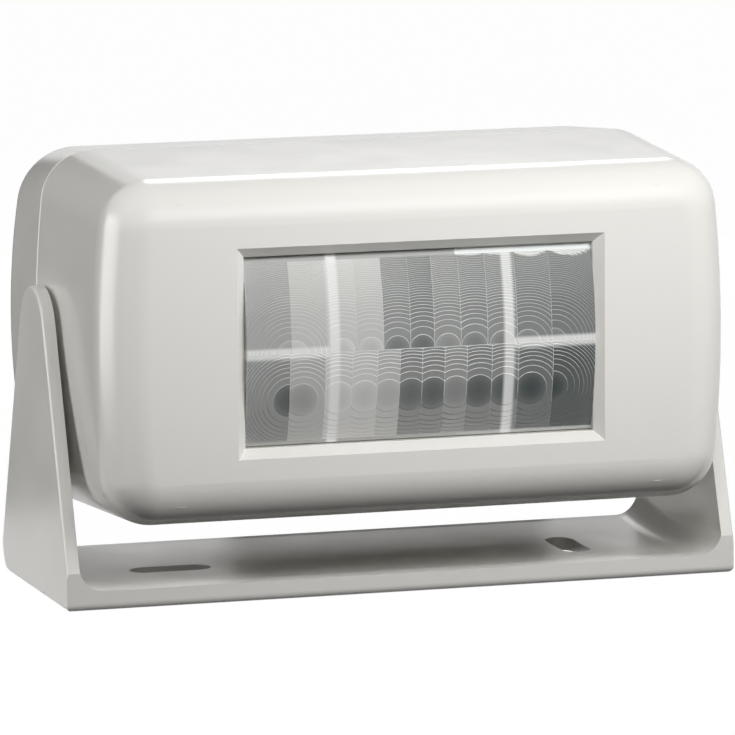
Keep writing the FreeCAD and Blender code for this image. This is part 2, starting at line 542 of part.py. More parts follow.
def draw_leg_outline(sketch, depth, tall):
    """Material to remove round the leg: the outer box less the leg's outline."""
    wide = (depth[0] + 5, depth[1] + " + 5")
    low = fixed(-5)
    draw_rectangle(sketch, "Outside", signed(wide, -1), wide, low, (tall[0] + 2, tall[1] + " + 2"))

    radius = V["leg_top_radius"]
    upright = V["leg_upright"]
    back = V["foot_radius_back"]
    front = V["foot_radius_front"]
    edge = depth[0]
    # Where a line from the top of the upright foot touches the round top.
    reach = math.hypot(edge, PIVOT - upright)
    lean = math.atan2(PIVOT - upright, edge) - math.acos(radius / reach)
    touch = Vector(radius * math.cos(lean), PIVOT + radius * math.sin(lean), 0)
    touch_front = Vector(-touch.x, touch.y, 0)
    first = sketch.GeometryCount

    def line(a, b):
        sketch.addGeometry(Part.LineSegment(a, b), False)

    def arc(center, r, start, end):
        sketch.addGeometry(Part.ArcOfCircle(Part.Circle(center, Z_AXIS, r), start, end), False)

    arc(Vector(0, PIVOT, 0), radius, lean, math.pi - lean)
    line(touch_front, Vector(-edge, upright, 0))
    line(Vector(-edge, upright, 0), Vector(-edge, front, 0))
    arc(Vector(-edge + front, front, 0), front, math.pi, 1.5 * math.pi)
    line(Vector(-edge + front, 0, 0), Vector(edge - back, 0, 0))
    arc(Vector(edge - back, back, 0), back, 1.5 * math.pi, 2 * math.pi)
    line(Vector(edge, back, 0), Vector(edge, upright, 0))
    line(Vector(edge, upright, 0), touch)
    tangent = [(0, 2, 1, 1), (2, 2, 3, 1), (3, 2, 4, 1), (4, 2, 5, 1), (5, 2, 6, 1), (7, 2, 0, 1)]
    for one, end_one, two, end_two in tangent:
        sketch.addConstraint(Sketcher.Constraint("Tangent", first + one, end_one, first + two, end_two))
    for one, two in ((1, 2), (6, 7)):
        sketch.addConstraint(Sketcher.Constraint("Coincident", first + one, 2, first + two, 1))
    sketch.addConstraint(Sketcher.Constraint("Vertical", first + 2))
    sketch.addConstraint(Sketcher.Constraint("Vertical", first + 6))
    sketch.addConstraint(Sketcher.Constraint("Horizontal", first + 4))
    bind(sketch, "Radius", (first,), radius, "Top", "Sizes.leg_top_radius")
    bind(sketch, "Radius", (first + 3,), front, "FootFront", "Sizes.foot_radius_front")
    bind(sketch, "Radius", (first + 5,), back, "FootBack", "Sizes.foot_radius_back")
    bind(sketch, "DistanceX", (-1, 1, first, 3), 0, "TopY", "0")
    bind(sketch, "DistanceY", (-1, 1, first, 3), PIVOT, "TopZ", "Sizes.pivot_height")
    bind(sketch, "DistanceX", (-1, 1, first + 2, 1), -edge, "EdgeFront", "-" + depth[1])
    bind(sketch, "DistanceX", (-1, 1, first + 6, 2), edge, "EdgeBack", depth[1])
    bind(sketch, "DistanceY", (-1, 1, first + 2, 1), upright, "UprightFront", "Sizes.leg_upright")
    bind(sketch, "DistanceY", (-1, 1, first + 6, 2), upright, "UprightBack", "Sizes.leg_upright")
    bind(sketch, "DistanceY", (-1, 1, first + 4, 1), 0, "Floor", "0")


def draw_dish(sketch):
    """Circular segment below the plate's top: its chord lies on the rims."""
    half = V["stand_depth"] / 2 - V["dish_rim"]
    deep = V["dish_depth"]
    radius = (half ** 2 + deep ** 2) / (2 * deep)
    center = Vector(0, V["plate_height"] - deep + radius, 0)
    turn = math.asin(half / radius)
    sketch.addGeometry(Part.ArcOfCircle(Part.Circle(center, Z_AXIS, radius),
                                        1.5 * math.pi - turn, 1.5 * math.pi + turn), False)
    sketch.addGeometry(Part.LineSegment(Vector(half, V["plate_height"], 0),
                                        Vector(-half, V["plate_height"], 0)), False)
    sketch.addConstraint(Sketcher.Constraint("Coincident", 0, 2, 1, 1))
    sketch.addConstraint(Sketcher.Constraint("Coincident", 1, 2, 0, 1))
    sketch.addConstraint(Sketcher.Constraint("Horizontal", 1))
    chord = "Sizes.stand_depth / 2 - Sizes.dish_rim"
    bind(sketch, "DistanceX", (-1, 1, 1, 1), half, "Back", chord)
    bind(sketch, "DistanceX", (-1, 1, 1, 2), -half, "Front", "-(%s)" % chord)
    bind(sketch, "DistanceY", (-1, 1, 1, 1), V["plate_height"], "Rim", "Sizes.plate_height")
    bind(sketch, "Radius", (0,), radius, "Sweep",
         "((%s)^2 + Sizes.dish_depth^2) / (2 * Sizes.dish_depth)" % chord)


# Head: two lofted covers that meet at a parting line behind the tilt axis.

def lofted_form(body, end_y, taper, end_radius, edge_round, inset, toward, bevelled):
    """One half of the head, taken in by inset: a loft between outlines of the head, from the
    parting line to the end face, with the end face's edge rounded. The outer form starts
    with a small bevel, so that the parting line reads as a groove."""
    corner = (V["corner_radius"] - inset[0], "Sizes.corner_radius - (%s)" % inset[1])
    seam = new_sketch(body, "SeamOutline", "XZ_Plane", "-Sizes.seam_offset")
    outlines = [seam]
    if bevelled:
        bevel = V["seam_bevel"]
        draw_head_outline(seam, "Seam", size("seam_bevel"),
                          (corner[0] - bevel, "%s - Sizes.seam_bevel" % corner[1]))
        full = new_sketch(body, "FullOutline", "XZ_Plane",
                          "-(Sizes.seam_offset + (%d) * Sizes.seam_bevel)" % toward)
        draw_head_outline(full, "Full", inset, corner)
        outlines.append(full)
    else:
        draw_head_outline(seam, "Seam", inset, corner)
    end = new_sketch(body, "EndOutline", "XZ_Plane", "-(%s)" % end_y[1])
    end_corner = (V[end_radius] - inset[0], "Sizes.%s - (%s)" % (end_radius, inset[1]))
    end_inset = (V[taper] + inset[0], "Sizes.%s + (%s)" % (taper, inset[1]))
    if toward > 0:
        side = (V["rear_side_taper"] + inset[0], "Sizes.rear_side_taper + (%s)" % inset[1])
        draw_head_outline(end, "End", end_inset, end_corner, side, "rear_bulge_radius")
    else:
        draw_head_outline(end, "End", end_inset, end_corner)
    outlines.append(end)
    # The outlines follow one another along the sketches' normal, which is -Y.
    if toward > 0:
        outlines.reverse()
    loft = feature(body, "AdditiveLoft", "Form", Profile=outlines[0], Sections=outlines[1:], Ruled=True)
    doc.recompute()
    rim = edges_on(loft.Shape, lambda p: near(p.y, end_y[0]))
    return feature(body, "Fillet", "RoundedForm", Base=(loft, rim),
                   Radius="Sizes.%s - (%s)" % (edge_round, inset[1]))


def lofted_shell(body, end_y, taper, end_radius, edge_round, toward):
    """Shell of one cover: its form less a smaller form, a wall's thickness inside it."""
    lofted_form(body, end_y, taper, end_radius, edge_round, fixed(0), toward, True)
    cavity = new_body(body.Label + "_cavity")
    inner_y = (end_y[0] - toward * V["wall"], "%s - (%d) * Sizes.wall" % (end_y[1], toward))
    lofted_form(cavity, inner_y, taper, end_radius, edge_round, size("wall"), toward, False)
    hollow = body.newObject("PartDesign::Boolean", "Hollow")
    hollow.setObjects([cavity])
    hollow.Type = "Cut"
    body.Tip = hollow
    doc.recompute()


def window_pairs(grow):
    """Rectangle of the window, grown all round by a pair of value and expression."""
    half_x = pair("%s + (%s)" % (WINDOW_HALF_X, grow[1]))
    half_z = pair("%s + (%s)" % (WINDOW_HALF_Z, grow[1]))
    middle = "Sizes.pivot_height - Sizes.window_drop"
    low = (WINDOW_Z - half_z[0], "%s - (%s)" % (middle, half_z[1]))
    high = (WINDOW_Z + half_z[0], "%s + (%s)" % (middle, half_z[1]))
    return signed(half_x, -1), half_x, low, high


def build_front_cover():
    body = new_body("front_cover")
    lofted_shell(body, (-V["front_reach"], "-Sizes.front_reach"), "front_taper", "corner_radius",
                 "front_round", -1)

    # Rebate for the rear cover's tongue, round the inside of the rim.
    rebate = new_sketch(body, "RebateSketch", "XZ_Plane", "-Sizes.seam_offset")
    middle = (V["wall"] / 2, "Sizes.wall / 2")
    draw_head_outline(rebate, "Rebate", middle,
                      (V["corner_radius"] - middle[0], "Sizes.corner_radius - Sizes.wall / 2"))
    feature(body, "Pocket", "LipRebate", Profile=rebate, Reversed=True,
            Length="Sizes.lip_length + Sizes.lip_clearance")

    # Raised rim behind the window, then the window through wall and rim.
    seat = new_sketch(body, "SeatSketch", "XZ_Plane", "Sizes.front_reach - Sizes.wall / 2")
    draw_rectangle(seat, "Seat", *window_pairs(size("seat_width")))
    feature(body, "Pad", "LensSeat", Profile=seat, Length="Sizes.wall / 2 + Sizes.lens_seat",
            Reversed=True)
    # Posts for the lens frame, the board and the housing screws stand on the front wall.
    inner_face = (-V["front_reach"] + V["wall"] / 2, "-Sizes.front_reach + Sizes.wall / 2")
    ear_front = "Sizes.lens_seat + Sizes.lens_sheet + Sizes.frame_depth - Sizes.frame_ear"
    four_posts(body, "FramePosts", pair(FRAME_SCREW_X), pair(FRAME_SCREW_Z),
               (V["board_post_radius"], "Sizes.board_post_radius"), inner_face,
               "Sizes.wall / 2 + " + ear_front,
               z_base="Sizes.pivot_height - Sizes.window_drop", z_value=WINDOW_Z)
    four_posts(body, "BoardPosts", pair(BOARD_SCREW_X), pair(BOARD_SCREW_Z),
               size("board_post_radius"), inner_face,
               "Sizes.front_reach - Sizes.wall / 2 - Sizes.board_front")
    four_posts(body, "HousingPosts", pair(HOUSING_X), pair(HOUSING_Z),
               size("housing_post_radius"), inner_face,
               "Sizes.front_reach - Sizes.wall / 2 + Sizes.seam_offset")

    window = new_sketch(body, "WindowSketch", "XZ_Plane", "Sizes.front_reach")
    draw_rectangle(window, "Window", *window_pairs(fixed(0)))
    opening = feature(body, "Pocket", "Window", Profile=window,
                      Length="Sizes.wall + Sizes.lens_seat + 1")
    doc.recompute()
    left, right, low, high = window_pairs(fixed(0))
    border = edges_on(opening.Shape, lambda p: near(p.y, -V["front_reach"])
                      and abs(p.x) < right[0] + 0.1 and low[0] - 0.1 < p.z < high[0] + 0.1)
    feature(body, "Chamfer", "WindowBevel", Base=(opening, border), Size="Sizes.window_bevel")

    # Pilot holes in the posts.
    pilot = (V["small_screw_radius"] + V["screw_clearance"],
             "Sizes.small_screw_radius + Sizes.screw_clearance")
    frame_face = ("-Sizes.front_reach + Sizes.wall + " + ear_front)
    four_posts(body, "FramePilots", pair(FRAME_SCREW_X), pair(FRAME_SCREW_Z), pilot,
               (0, frame_face), "Sizes.frame_depth - Sizes.frame_ear + Sizes.lens_seat + 0.3", cut=True,
               z_base="Sizes.pivot_height - Sizes.window_drop", z_value=WINDOW_Z, toward_back=False)
    four_posts(body, "BoardPilots", pair(BOARD_SCREW_X), pair(BOARD_SCREW_Z), pilot,
               (0, "-Sizes.board_front"), "6", cut=True, toward_back=False)
    bolt = (V["housing_shank_radius"] + V["screw_clearance"],
            "Sizes.housing_shank_radius + Sizes.screw_clearance")
    four_posts(body, "HousingPilots", pair(HOUSING_X), pair(HOUSING_Z), bolt,
               (0, "Sizes.seam_offset"), "10", cut=True, toward_back=False)

    add_pivot_bores(body)
    return body


def add_pivot_bores(body):
    """Bosses inside the side walls, bored for the stand's stubs."""
    reach = "Sizes.stand_width / 2 - Sizes.leg_wall - Sizes.side_gap - Sizes.wall / 2"
    boss = new_sketch(body, "PivotBossSketch", "YZ_Plane", reach)
    draw_circle(boss, "Boss", fixed(0), size("pivot_height"), size("pivot_boss_radius"))
    pad = feature(body, "Pad", "PivotBoss", Profile=boss, Reversed=True,
                  Length="Sizes.pin_length - Sizes.side_gap - Sizes.wall / 2 + 0.6")
    both = feature(body, "Mirrored", "PivotBosses", Originals=[pad],
                   MirrorPlane=(origin_plane(body, "YZ_Plane"), [""]))
    body.Tip = both
    hole = new_sketch(body, "PivotBoreSketch", "YZ_Plane", "Sizes.stand_width / 2")
    draw_circle(hole, "Bore", fixed(0), size("pivot_height"),
                (V["pin_radius"] + V["pin_clearance"], "Sizes.pin_radius + Sizes.pin_clearance"))
    bore = feature(body, "Pocket", "PivotBore", Profile=hole, Length="Sizes.leg_wall + Sizes.pin_length + 2")
    bores = feature(body, "Mirrored", "PivotBores", Originals=[bore],
                    MirrorPlane=(origin_plane(body, "YZ_Plane"), [""]))
    body.Tip = bores


def build_rear_cover():
    body = new_body("rear_cover")
    lofted_shell(body, size("rear_reach"), "rear_taper", "rear_corner_radius", "rear_round", 1)

    def bay(sketch, tag, grow):
        draw_rectangle(sketch, tag,
                       pair("%s - %s - (%s)" % (BAY_X, BAY_HALF_X, grow)),
                       pair("%s + %s + (%s)" % (BAY_X, BAY_HALF_X, grow)),
                       pair("%s - %s - (%s)" % (TILT_Z, BAY_HALF_Z, grow)),
                       pair("%s + %s + (%s)" % (TILT_Z, BAY_HALF_Z, grow)))

    # Battery bay: a box from the rear wall inwards.
    box = new_sketch(body, "BaySketch", "XZ_Plane", "-(Sizes.rear_reach - Sizes.wall / 2)")
    bay(box, "Bay", "Sizes.bay_wall")
    feature(body, "Pad", "BayBox", Profile=box, Length="%s - Sizes.wall / 2 + Sizes.bay_wall" % BAY_DEPTH)

    # Columns for the housing screws, and the speaker's locating ring and bosses.
    four_posts(body, "Columns", pair(HOUSING_X), pair(HOUSING_Z),
               (V["housing_post_radius"] + 0.3, "Sizes.housing_post_radius + 0.3"),
               size("seam_offset"), "Sizes.rear_reach - Sizes.seam_offset - Sizes.wall / 2 - 0.6")
    add_speaker_seat(body)

    # Openings, all cut from the rear face.
    rear = "-Sizes.rear_reach"
    inside = new_sketch(body, "BayInsideSketch", "XZ_Plane", rear)
    bay(inside, "Inside", "0")
    feature(body, "Pocket", "BayInside", Profile=inside, Length=BAY_DEPTH, Reversed=True)
    doc.recompute()
    ledge = new_sketch(body, "DoorSketch", "XZ_Plane", rear)
    bay(ledge, "Door", "Sizes.door_overlap + Sizes.door_gap")
    feature(body, "Pocket", "DoorOpening", Profile=ledge, Length="Sizes.door_thickness + 0.02",
            Reversed=True)
    four_posts(body, "HeadRecesses", pair(HOUSING_X), pair(HOUSING_Z),
               (V["housing_head_radius"] + 0.3, "Sizes.housing_head_radius + 0.3"),
               (0, "Sizes.rear_reach"),
               "Sizes.rear_reach - Sizes.seam_offset - Sizes.housing_head_seat", cut=True,
               toward_back=False)
    four_posts(body, "ShankHoles", pair(HOUSING_X), pair(HOUSING_Z),
               pair("Sizes.housing_shank_radius + Sizes.screw_passage"),
               (0, "Sizes.rear_reach"), "Sizes.rear_reach - Sizes.seam_offset + 1", cut=True,
               toward_back=False)
    add_grille(body)
    add_switch_slot(body)
    add_lip(body)
    return body


def speaker_screw_place(turn):
    """Expressions for the place of a speaker screw, in X and above the table."""
    return ("%s + %s * cos(%d deg)" % (SPEAKER_X, SPEAKER_SCREW_CIRCLE, turn),
            "%s + %s * sin(%d deg)" % (TILT_Z, SPEAKER_SCREW_CIRCLE, turn))


def add_speaker_seat(body):
    """Ring that locates the speaker on the rear wall, and bosses for its screws."""
    root = "-(Sizes.rear_reach - Sizes.wall / 2)"
    center = (pair(SPEAKER_X), size("pivot_height"))
    ring = new_sketch(body, "SpeakerRingSketch", "XZ_Plane", root)
    draw_circle(ring, "Outer", *center, pair(SPEAKER_RADIUS + " + 1.1"))
    draw_circle(ring, "Inner", *center, pair(SPEAKER_RADIUS + " + 0.1"))
    feature(body, "Pad", "SpeakerRing", Profile=ring, Length="Sizes.wall / 2 + Sizes.speaker_flange - 0.2")
    bosses = new_sketch(body, "SpeakerBossSketch", "XZ_Plane", root)
    holes = new_sketch(body, "SpeakerPilotSketch", "XZ_Plane", "-" + SPEAKER_SEAT)
    for k, turn in enumerate(SPEAKER_SCREW_TURNS):
        x, z = speaker_screw_place(turn)
        draw_circle(bosses, "Boss%d" % k, pair(x), pair(z), size("speaker_boss_radius"))
        draw_circle(holes, "Pilot%d" % k, pair(x), pair(z),
                    pair("Sizes.small_screw_radius + Sizes.screw_clearance"))
    feature(body, "Pad", "SpeakerBosses", Profile=bosses, Length="Sizes.wall / 2 + Sizes.speaker_flange")
    feature(body, "Pocket", "SpeakerPilots", Profile=holes, Reversed=False,
            Length="Sizes.speaker_screw_grip + 0.2")


def add_grille(body):
    """Round field of level slots over the speaker."""
    sketch = new_sketch(body, "GrilleSketch", "XZ_Plane", "-Sizes.rear_reach")
    radius = worth(GRILLE_RADIUS)
    count = int((radius - V["grille_slot"] / 2) / V["grille_pitch"])
    for k in range(-count, count + 1):
        rise = k * V["grille_pitch"]
        length = 2 * math.sqrt(radius ** 2 - rise ** 2)
        draw_slot(sketch, "Slot%d" % (k + count), pair(SPEAKER_X),
                  (PIVOT + rise, "Sizes.pivot_height + %d * Sizes.grille_pitch" % k),
                  (length, "2 * sqrt(%s^2 - (%d * Sizes.grille_pitch)^2)" % (GRILLE_RADIUS, k)),
                  size("grille_slot"))
    feature(body, "Pocket", "Grille", Profile=sketch, Length="Sizes.wall + 1", Reversed=True)


def add_switch_slot(body):
    """Slot in the underside for the switch knob."""
    sketch = new_sketch(body, "SwitchSketch", "XY_Plane", "Sizes.pivot_height - Sizes.head_height / 2")
    draw_rectangle(sketch, "Slot",
                   pair("Sizes.switch_x - " + SWITCH_WELL_X), pair("Sizes.switch_x + " + SWITCH_WELL_X),
                   pair("%s - %s" % (SWITCH_Y, SWITCH_WELL_Y)), pair("%s + %s" % (SWITCH_Y, SWITCH_WELL_Y)))
    feature(body, "Pocket", "SwitchSlot", Profile=sketch, Reversed=True,
            Length="Sizes.wall + Sizes.rear_taper + 0.5")


def add_lip(body):
    """Tongue that stands inside the front cover's rebate."""
    sketch = new_sketch(body, "LipSketch", "XZ_Plane", "-Sizes.seam_offset")
    outer = (V["wall"] / 2 + V["lip_clearance"], "Sizes.wall / 2 + Sizes.lip_clearance")
    draw_head_outline(sketch, "LipOut", outer,
                      (V["corner_radius"] - outer[0], "Sizes.corner_radius - (%s)" % outer[1]))
    draw_head_outline(sketch, "LipIn", size("wall"),
                      (V["corner_radius"] - V["wall"], "Sizes.corner_radius - Sizes.wall"))
    feature(body, "Pad", "Lip", Profile=sketch, Length="Sizes.lip_length")


# Helpers for the pieces inside: each one is drawn about its own origin and put in its place.

def put(item, x, y, z, turn=None):
    """Places a sub-part: x, y and z are expressions, turn is a fixed rotation."""
    if turn is not None:
        item.Placement = Placement(Vector(), turn)
    for axis, expression in zip("xyz", (x, y, z)):
        item.setExpression("Placement.Base." + axis, expression)
    return item


def primitive(kind, name, x, y, z, turn=None, **sizes):
    """A Part primitive whose sizes and place are expressions."""
    item = doc.addObject("Part::" + kind, name)
    for key, expression in sizes.items():
        item.setExpression(key, expression)
    return put(item, x, y, z, turn)


def fused(name, pieces):
    item = doc.addObject("Part::MultiFuse", name)
    item.Shapes = pieces
    return item


def cut_from(name, base, tool):
    item = doc.addObject("Part::Cut", name)
    item.Base = base
    item.Tool = tool
    return item


def group_of(name, pieces):
    """Separate solids that share one sub-part."""
    item = doc.addObject("Part::Compound", name)
    item.Links = pieces
    return item


def copy_of(form, name, x, y, z, turn=None):
    """One more of a piece that is modelled once."""
    link = doc.addObject("App::Link", name)
    link.LinkedObject = form
    return put(link, x, y, z, turn)


def draw_polygon(sketch, tag, corners):
    """Closed outline of straight lines; every corner is a pair of expressions."""
    spots = [(pair(x), pair(y)) for x, y in corners]
    first = sketch.GeometryCount
    count = len(spots)
    for k in range(count):
        start, end = spots[k], spots[(k + 1) % count]
        sketch.addGeometry(Part.LineSegment(Vector(start[0][0], start[1][0], 0),
                                            Vector(end[0][0], end[1][0], 0)), False)
    for k in range(count):
        sketch.addConstraint(Sketcher.Constraint("Coincident", first + k, 2, first + (k + 1) % count, 1))
    for k, (x, y) in enumerate(spots):
        bind(sketch, "DistanceX", (-1, 1, first + k, 1), x[0], "%sX%d" % (tag, k), x[1])
        bind(sketch, "DistanceY", (-1, 1, first + k, 1), y[0], "%sY%d" % (tag, k), y[1])


def draw_box(sketch, tag, half_x, half_z, x="0", z="0"):
    """Rectangle about (x, z), from its half sizes."""
    draw_rectangle(sketch, tag, pair("%s - (%s)" % (x, half_x)), pair("%s + (%s)" % (x, half_x)),
                   pair("%s - (%s)" % (z, half_z)), pair("%s + (%s)" % (z, half_z)))


def turned_body(label, profile):
    """Body turned about its own Y axis; profile holds pairs of radius and distance along Y."""
    body = new_body(label)
    sketch = new_sketch(body, label + "Profile", "XY_Plane")
    draw_polygon(sketch, "Corner", profile)
    body.newObject("PartDesign::Revolution", label + "Form")
    form = body.Tip
    form.Profile = sketch
    form.ReferenceAxis = (sketch, ["V_Axis"])
    form.Angle = 360
    return body


# Lens and the frame that presses it on its seat.

def draw_bow(sketch, tag, radius, half_chord):
    """Arc of the lens's bow about its centre, from one end of the chord to the other."""
    turn = math.asin(half_chord[0] / radius[0])
    center = pair(LENS_CENTER)
    index = sketch.addGeometry(
        Part.ArcOfCircle(Part.Circle(Vector(center[0], 0, 0), Z_AXIS, radius[0]),
                         math.pi - turn, math.pi + turn), False)
    bind(sketch, "Radius", (index,), radius[0], tag + "Radius", radius[1])
    bind(sketch, "DistanceX", (-1, 1, index, 3), center[0], tag + "CenterX", center[1])
    bind(sketch, "DistanceY", (-1, 1, index, 3), 0, tag + "CenterZ", "0")
    return index


def build_lens():
    """Sheet bowed forward between two flat margins, the same all along its width."""
    body = new_body("fresnel_lens")
    sketch = new_sketch(body, "LensProfile", "YZ_Plane")
    front, back = pair(LENS_FRONT), pair(LENS_BACK)
    chord = pair(LENS_CHORD)
    edge = pair(LENS_CHORD + " + Sizes.lens_flange")
    radius = pair(LENS_RADIUS)
    inner = pair(LENS_RADIUS + " - Sizes.lens_sheet")
    center = worth(LENS_CENTER)
    inner_chord = math.sqrt(inner[0] ** 2 - (center - back[0]) ** 2)
    outer_arc = draw_bow(sketch, "Outer", radius, chord)
    inner_arc = draw_bow(sketch, "Inner", inner, (inner_chord, ""))

    def line(start, end):
        return sketch.addGeometry(Part.LineSegment(Vector(*start, 0), Vector(*end, 0)), False)

    for sign, outer_end, inner_end in ((1, 1, 1), (-1, 2, 2)):
        margin = line((front[0], sign * chord[0]), (front[0], sign * edge[0]))
        rim = line((front[0], sign * edge[0]), (back[0], sign * edge[0]))
        behind = line((back[0], sign * edge[0]), (back[0], sign * inner_chord))
        sketch.addConstraint(Sketcher.Constraint("Coincident", outer_arc, outer_end, margin, 1))
        sketch.addConstraint(Sketcher.Constraint("Coincident", margin, 2, rim, 1))
        sketch.addConstraint(Sketcher.Constraint("Coincident", rim, 2, behind, 1))
        sketch.addConstraint(Sketcher.Constraint("Coincident", behind, 2, inner_arc, inner_end))
        sketch.addConstraint(Sketcher.Constraint("Vertical", margin))
        sketch.addConstraint(Sketcher.Constraint("Horizontal", rim))
        sketch.addConstraint(Sketcher.Constraint("Vertical", behind))
        tag = "Top" if sign > 0 else "Low"
        bind(sketch, "DistanceX", (-1, 1, rim, 1), front[0], tag + "Front", front[1])
        bind(sketch, "DistanceX", (-1, 1, rim, 2), back[0], tag + "Back", back[1])
        bind(sketch, "DistanceY", (-1, 1, rim, 1), sign * edge[0], tag + "Edge",
             "%d * (%s)" % (sign, edge[1]))
    feature(body, "Pad", "Sheet", Profile=sketch, SideType="Symmetric", Length="2 * " + LENS_HALF)
    return put(body, "0", "0", WINDOW_MID)


def build_lens_frame():
    """Frame that presses the lens on its seat, with the ribs that show through the lens."""
    body = new_body("lens_frame")
    hole_x = "(%s - 1)" % LENS_HALF
    hole_z = "(%s - 0.4)" % LENS_CHORD
    outer_x = "(%s + Sizes.seat_width)" % WINDOW_HALF_X
    outer_z = "(%s + Sizes.seat_width)" % WINDOW_HALF_Z
    ring = new_sketch(body, "RingSketch", "XZ_Plane", "-" + FRAME_BACK)
    draw_box(ring, "Outer", outer_x, outer_z)
    draw_box(ring, "Hole", hole_x, hole_z)
    feature(body, "Pad", "Ring", Profile=ring, Length="Sizes.frame_depth")

    # Upright rib: its front follows the lens.
    bow = pair("%s - Sizes.lens_sheet - Sizes.rib_clearance" % LENS_RADIUS)
    reach = pair(hole_z + " + 0.2")
    back = pair(FRAME_BACK)
    start = worth(LENS_CENTER) - math.sqrt(bow[0] ** 2 - reach[0] ** 2)
    upright = new_sketch(body, "UprightSketch", "YZ_Plane", "Sizes.frame_rib_x")
    arc = draw_bow(upright, "Bow", bow, reach)
    ends = []
    for sign, arc_end in ((1, 1), (-1, 2)):
        side = upright.addGeometry(Part.LineSegment(Vector(start, sign * reach[0], 0),
                                                    Vector(back[0], sign * reach[0], 0)), False)
        upright.addConstraint(Sketcher.Constraint("Coincident", arc, arc_end, side, 1))
        upright.addConstraint(Sketcher.Constraint("Horizontal", side))
        tag = "Top" if sign > 0 else "Low"
        bind(upright, "DistanceX", (-1, 1, side, 2), back[0], tag + "Back", back[1])
        bind(upright, "DistanceY", (-1, 1, side, 2), sign * reach[0], tag + "End",
             "%d * (%s)" % (sign, reach[1]))
        ends.append(side)
    closing = upright.addGeometry(Part.LineSegment(Vector(back[0], reach[0], 0),
                                                   Vector(back[0], -reach[0], 0)), False)
    upright.addConstraint(Sketcher.Constraint("Coincident", ends[0], 2, closing, 1))
    upright.addConstraint(Sketcher.Constraint("Coincident", ends[1], 2, closing, 2))
    rib = feature(body, "Pad", "UprightRib", Profile=upright, Length="Sizes.frame_rib", SideType="Symmetric")

    # Level rib at mid-height, from the upright rib out to the frame.
    level = new_sketch(body, "LevelSketch", "XZ_Plane", "-" + FRAME_BACK)
    draw_rectangle(level, "Level", size("frame_rib_x"), pair(hole_x + " + 0.5"),
                   pair("-Sizes.frame_rib / 2"), pair("Sizes.frame_rib / 2"))
    arm = feature(body, "Pad", "LevelRib", Profile=level,
                  Length="%s - %s + %s - 0.02" % (FRAME_BACK, LENS_CENTER, bow[1]))
    both = feature(body, "Mirrored", "Ribs", Originals=[rib, arm],
                   MirrorPlane=(origin_plane(body, "YZ_Plane"), [""]))
    body.Tip = both

    # Screw ears at the back of the frame.
    ear_front = pair(FRAME_BACK + " - Sizes.frame_ear")
    ear_radius = "Sizes.board_post_radius + 0.4"
    spots = (pair(FRAME_SCREW_X), pair(FRAME_SCREW_Z))
    arms = new_sketch(body, "EarSketch", "XZ_Plane", "-" + FRAME_BACK)
    for sx in (-1, 1):
        for sz in (-1, 1):
            near_x = pair("%d * (%s - 1)" % (sx, outer_x))
            far_x = pair("%d * %s" % (sx, FRAME_SCREW_X))
            left, right = (near_x, far_x) if sx > 0 else (far_x, near_x)
            middle = "%d * %s" % (sz, FRAME_SCREW_Z)
            draw_rectangle(arms, "Ear%d%d" % (sx + 1, sz + 1), left, right,
                           pair("%s - (%s)" % (middle, ear_radius)), pair("%s + (%s)" % (middle, ear_radius)))
    feature(body, "Pad", "EarArms", Profile=arms, Length="Sizes.frame_ear")
    four_posts(body, "EarEnds", *spots, pair(ear_radius), ear_front, "Sizes.frame_ear",
               z_base="0", z_value=0)
    four_posts(body, "EarHoles", *spots, pair("Sizes.small_screw_radius + Sizes.screw_passage"),
               ear_front, "Sizes.frame_ear + 1", cut=True, z_base="0", z_value=0)
    return put(body, "0", "0", WINDOW_MID)


# Screws: one form for each kind, and a copy at each place.

def screw_form(label, shank_radius, grip, head_radius, head_height):
    """Pan-head screw with a cross recess. Its head's seat is at Y = 0 and its tip at -Y."""
    crown = "(%s) * 0.55" % head_height
    body = turned_body(label, [
        ("0", "-(%s)" % grip), ("(%s) * 0.6" % shank_radius, "-(%s)" % grip),
        (shank_radius, "-(%s) + 0.6" % grip), (shank_radius, "0"), (head_radius, "0"),
        (head_radius, crown), ("(%s) * 0.88" % head_radius, "(%s) * 0.85" % head_height),
        ("(%s) * 0.6" % head_radius, head_height), ("0", head_height)])
    cross = new_sketch(body, label + "Cross", "XZ_Plane", "-(%s)" % head_height)
    long_half = "(%s) * 0.55" % head_radius
    thin_half = "(%s) * 0.13" % head_radius
    draw_polygon(cross, "Cross", [
        ("-(%s)" % long_half, "-(%s)" % thin_half), ("-(%s)" % thin_half, "-(%s)" % thin_half),
        ("-(%s)" % thin_half, "-(%s)" % long_half), (thin_half, "-(%s)" % long_half),
        (thin_half, "-(%s)" % thin_half), (long_half, "-(%s)" % thin_half),
        (long_half, thin_half), (thin_half, thin_half), (thin_half, long_half),
        ("-(%s)" % thin_half, long_half), ("-(%s)" % thin_half, thin_half),
        ("-(%s)" % long_half, thin_half)])
    feature(body, "Pocket", label + "Recess", Profile=cross, Reversed=True, Length="(%s) * 0.6" % head_height
           )
    return body


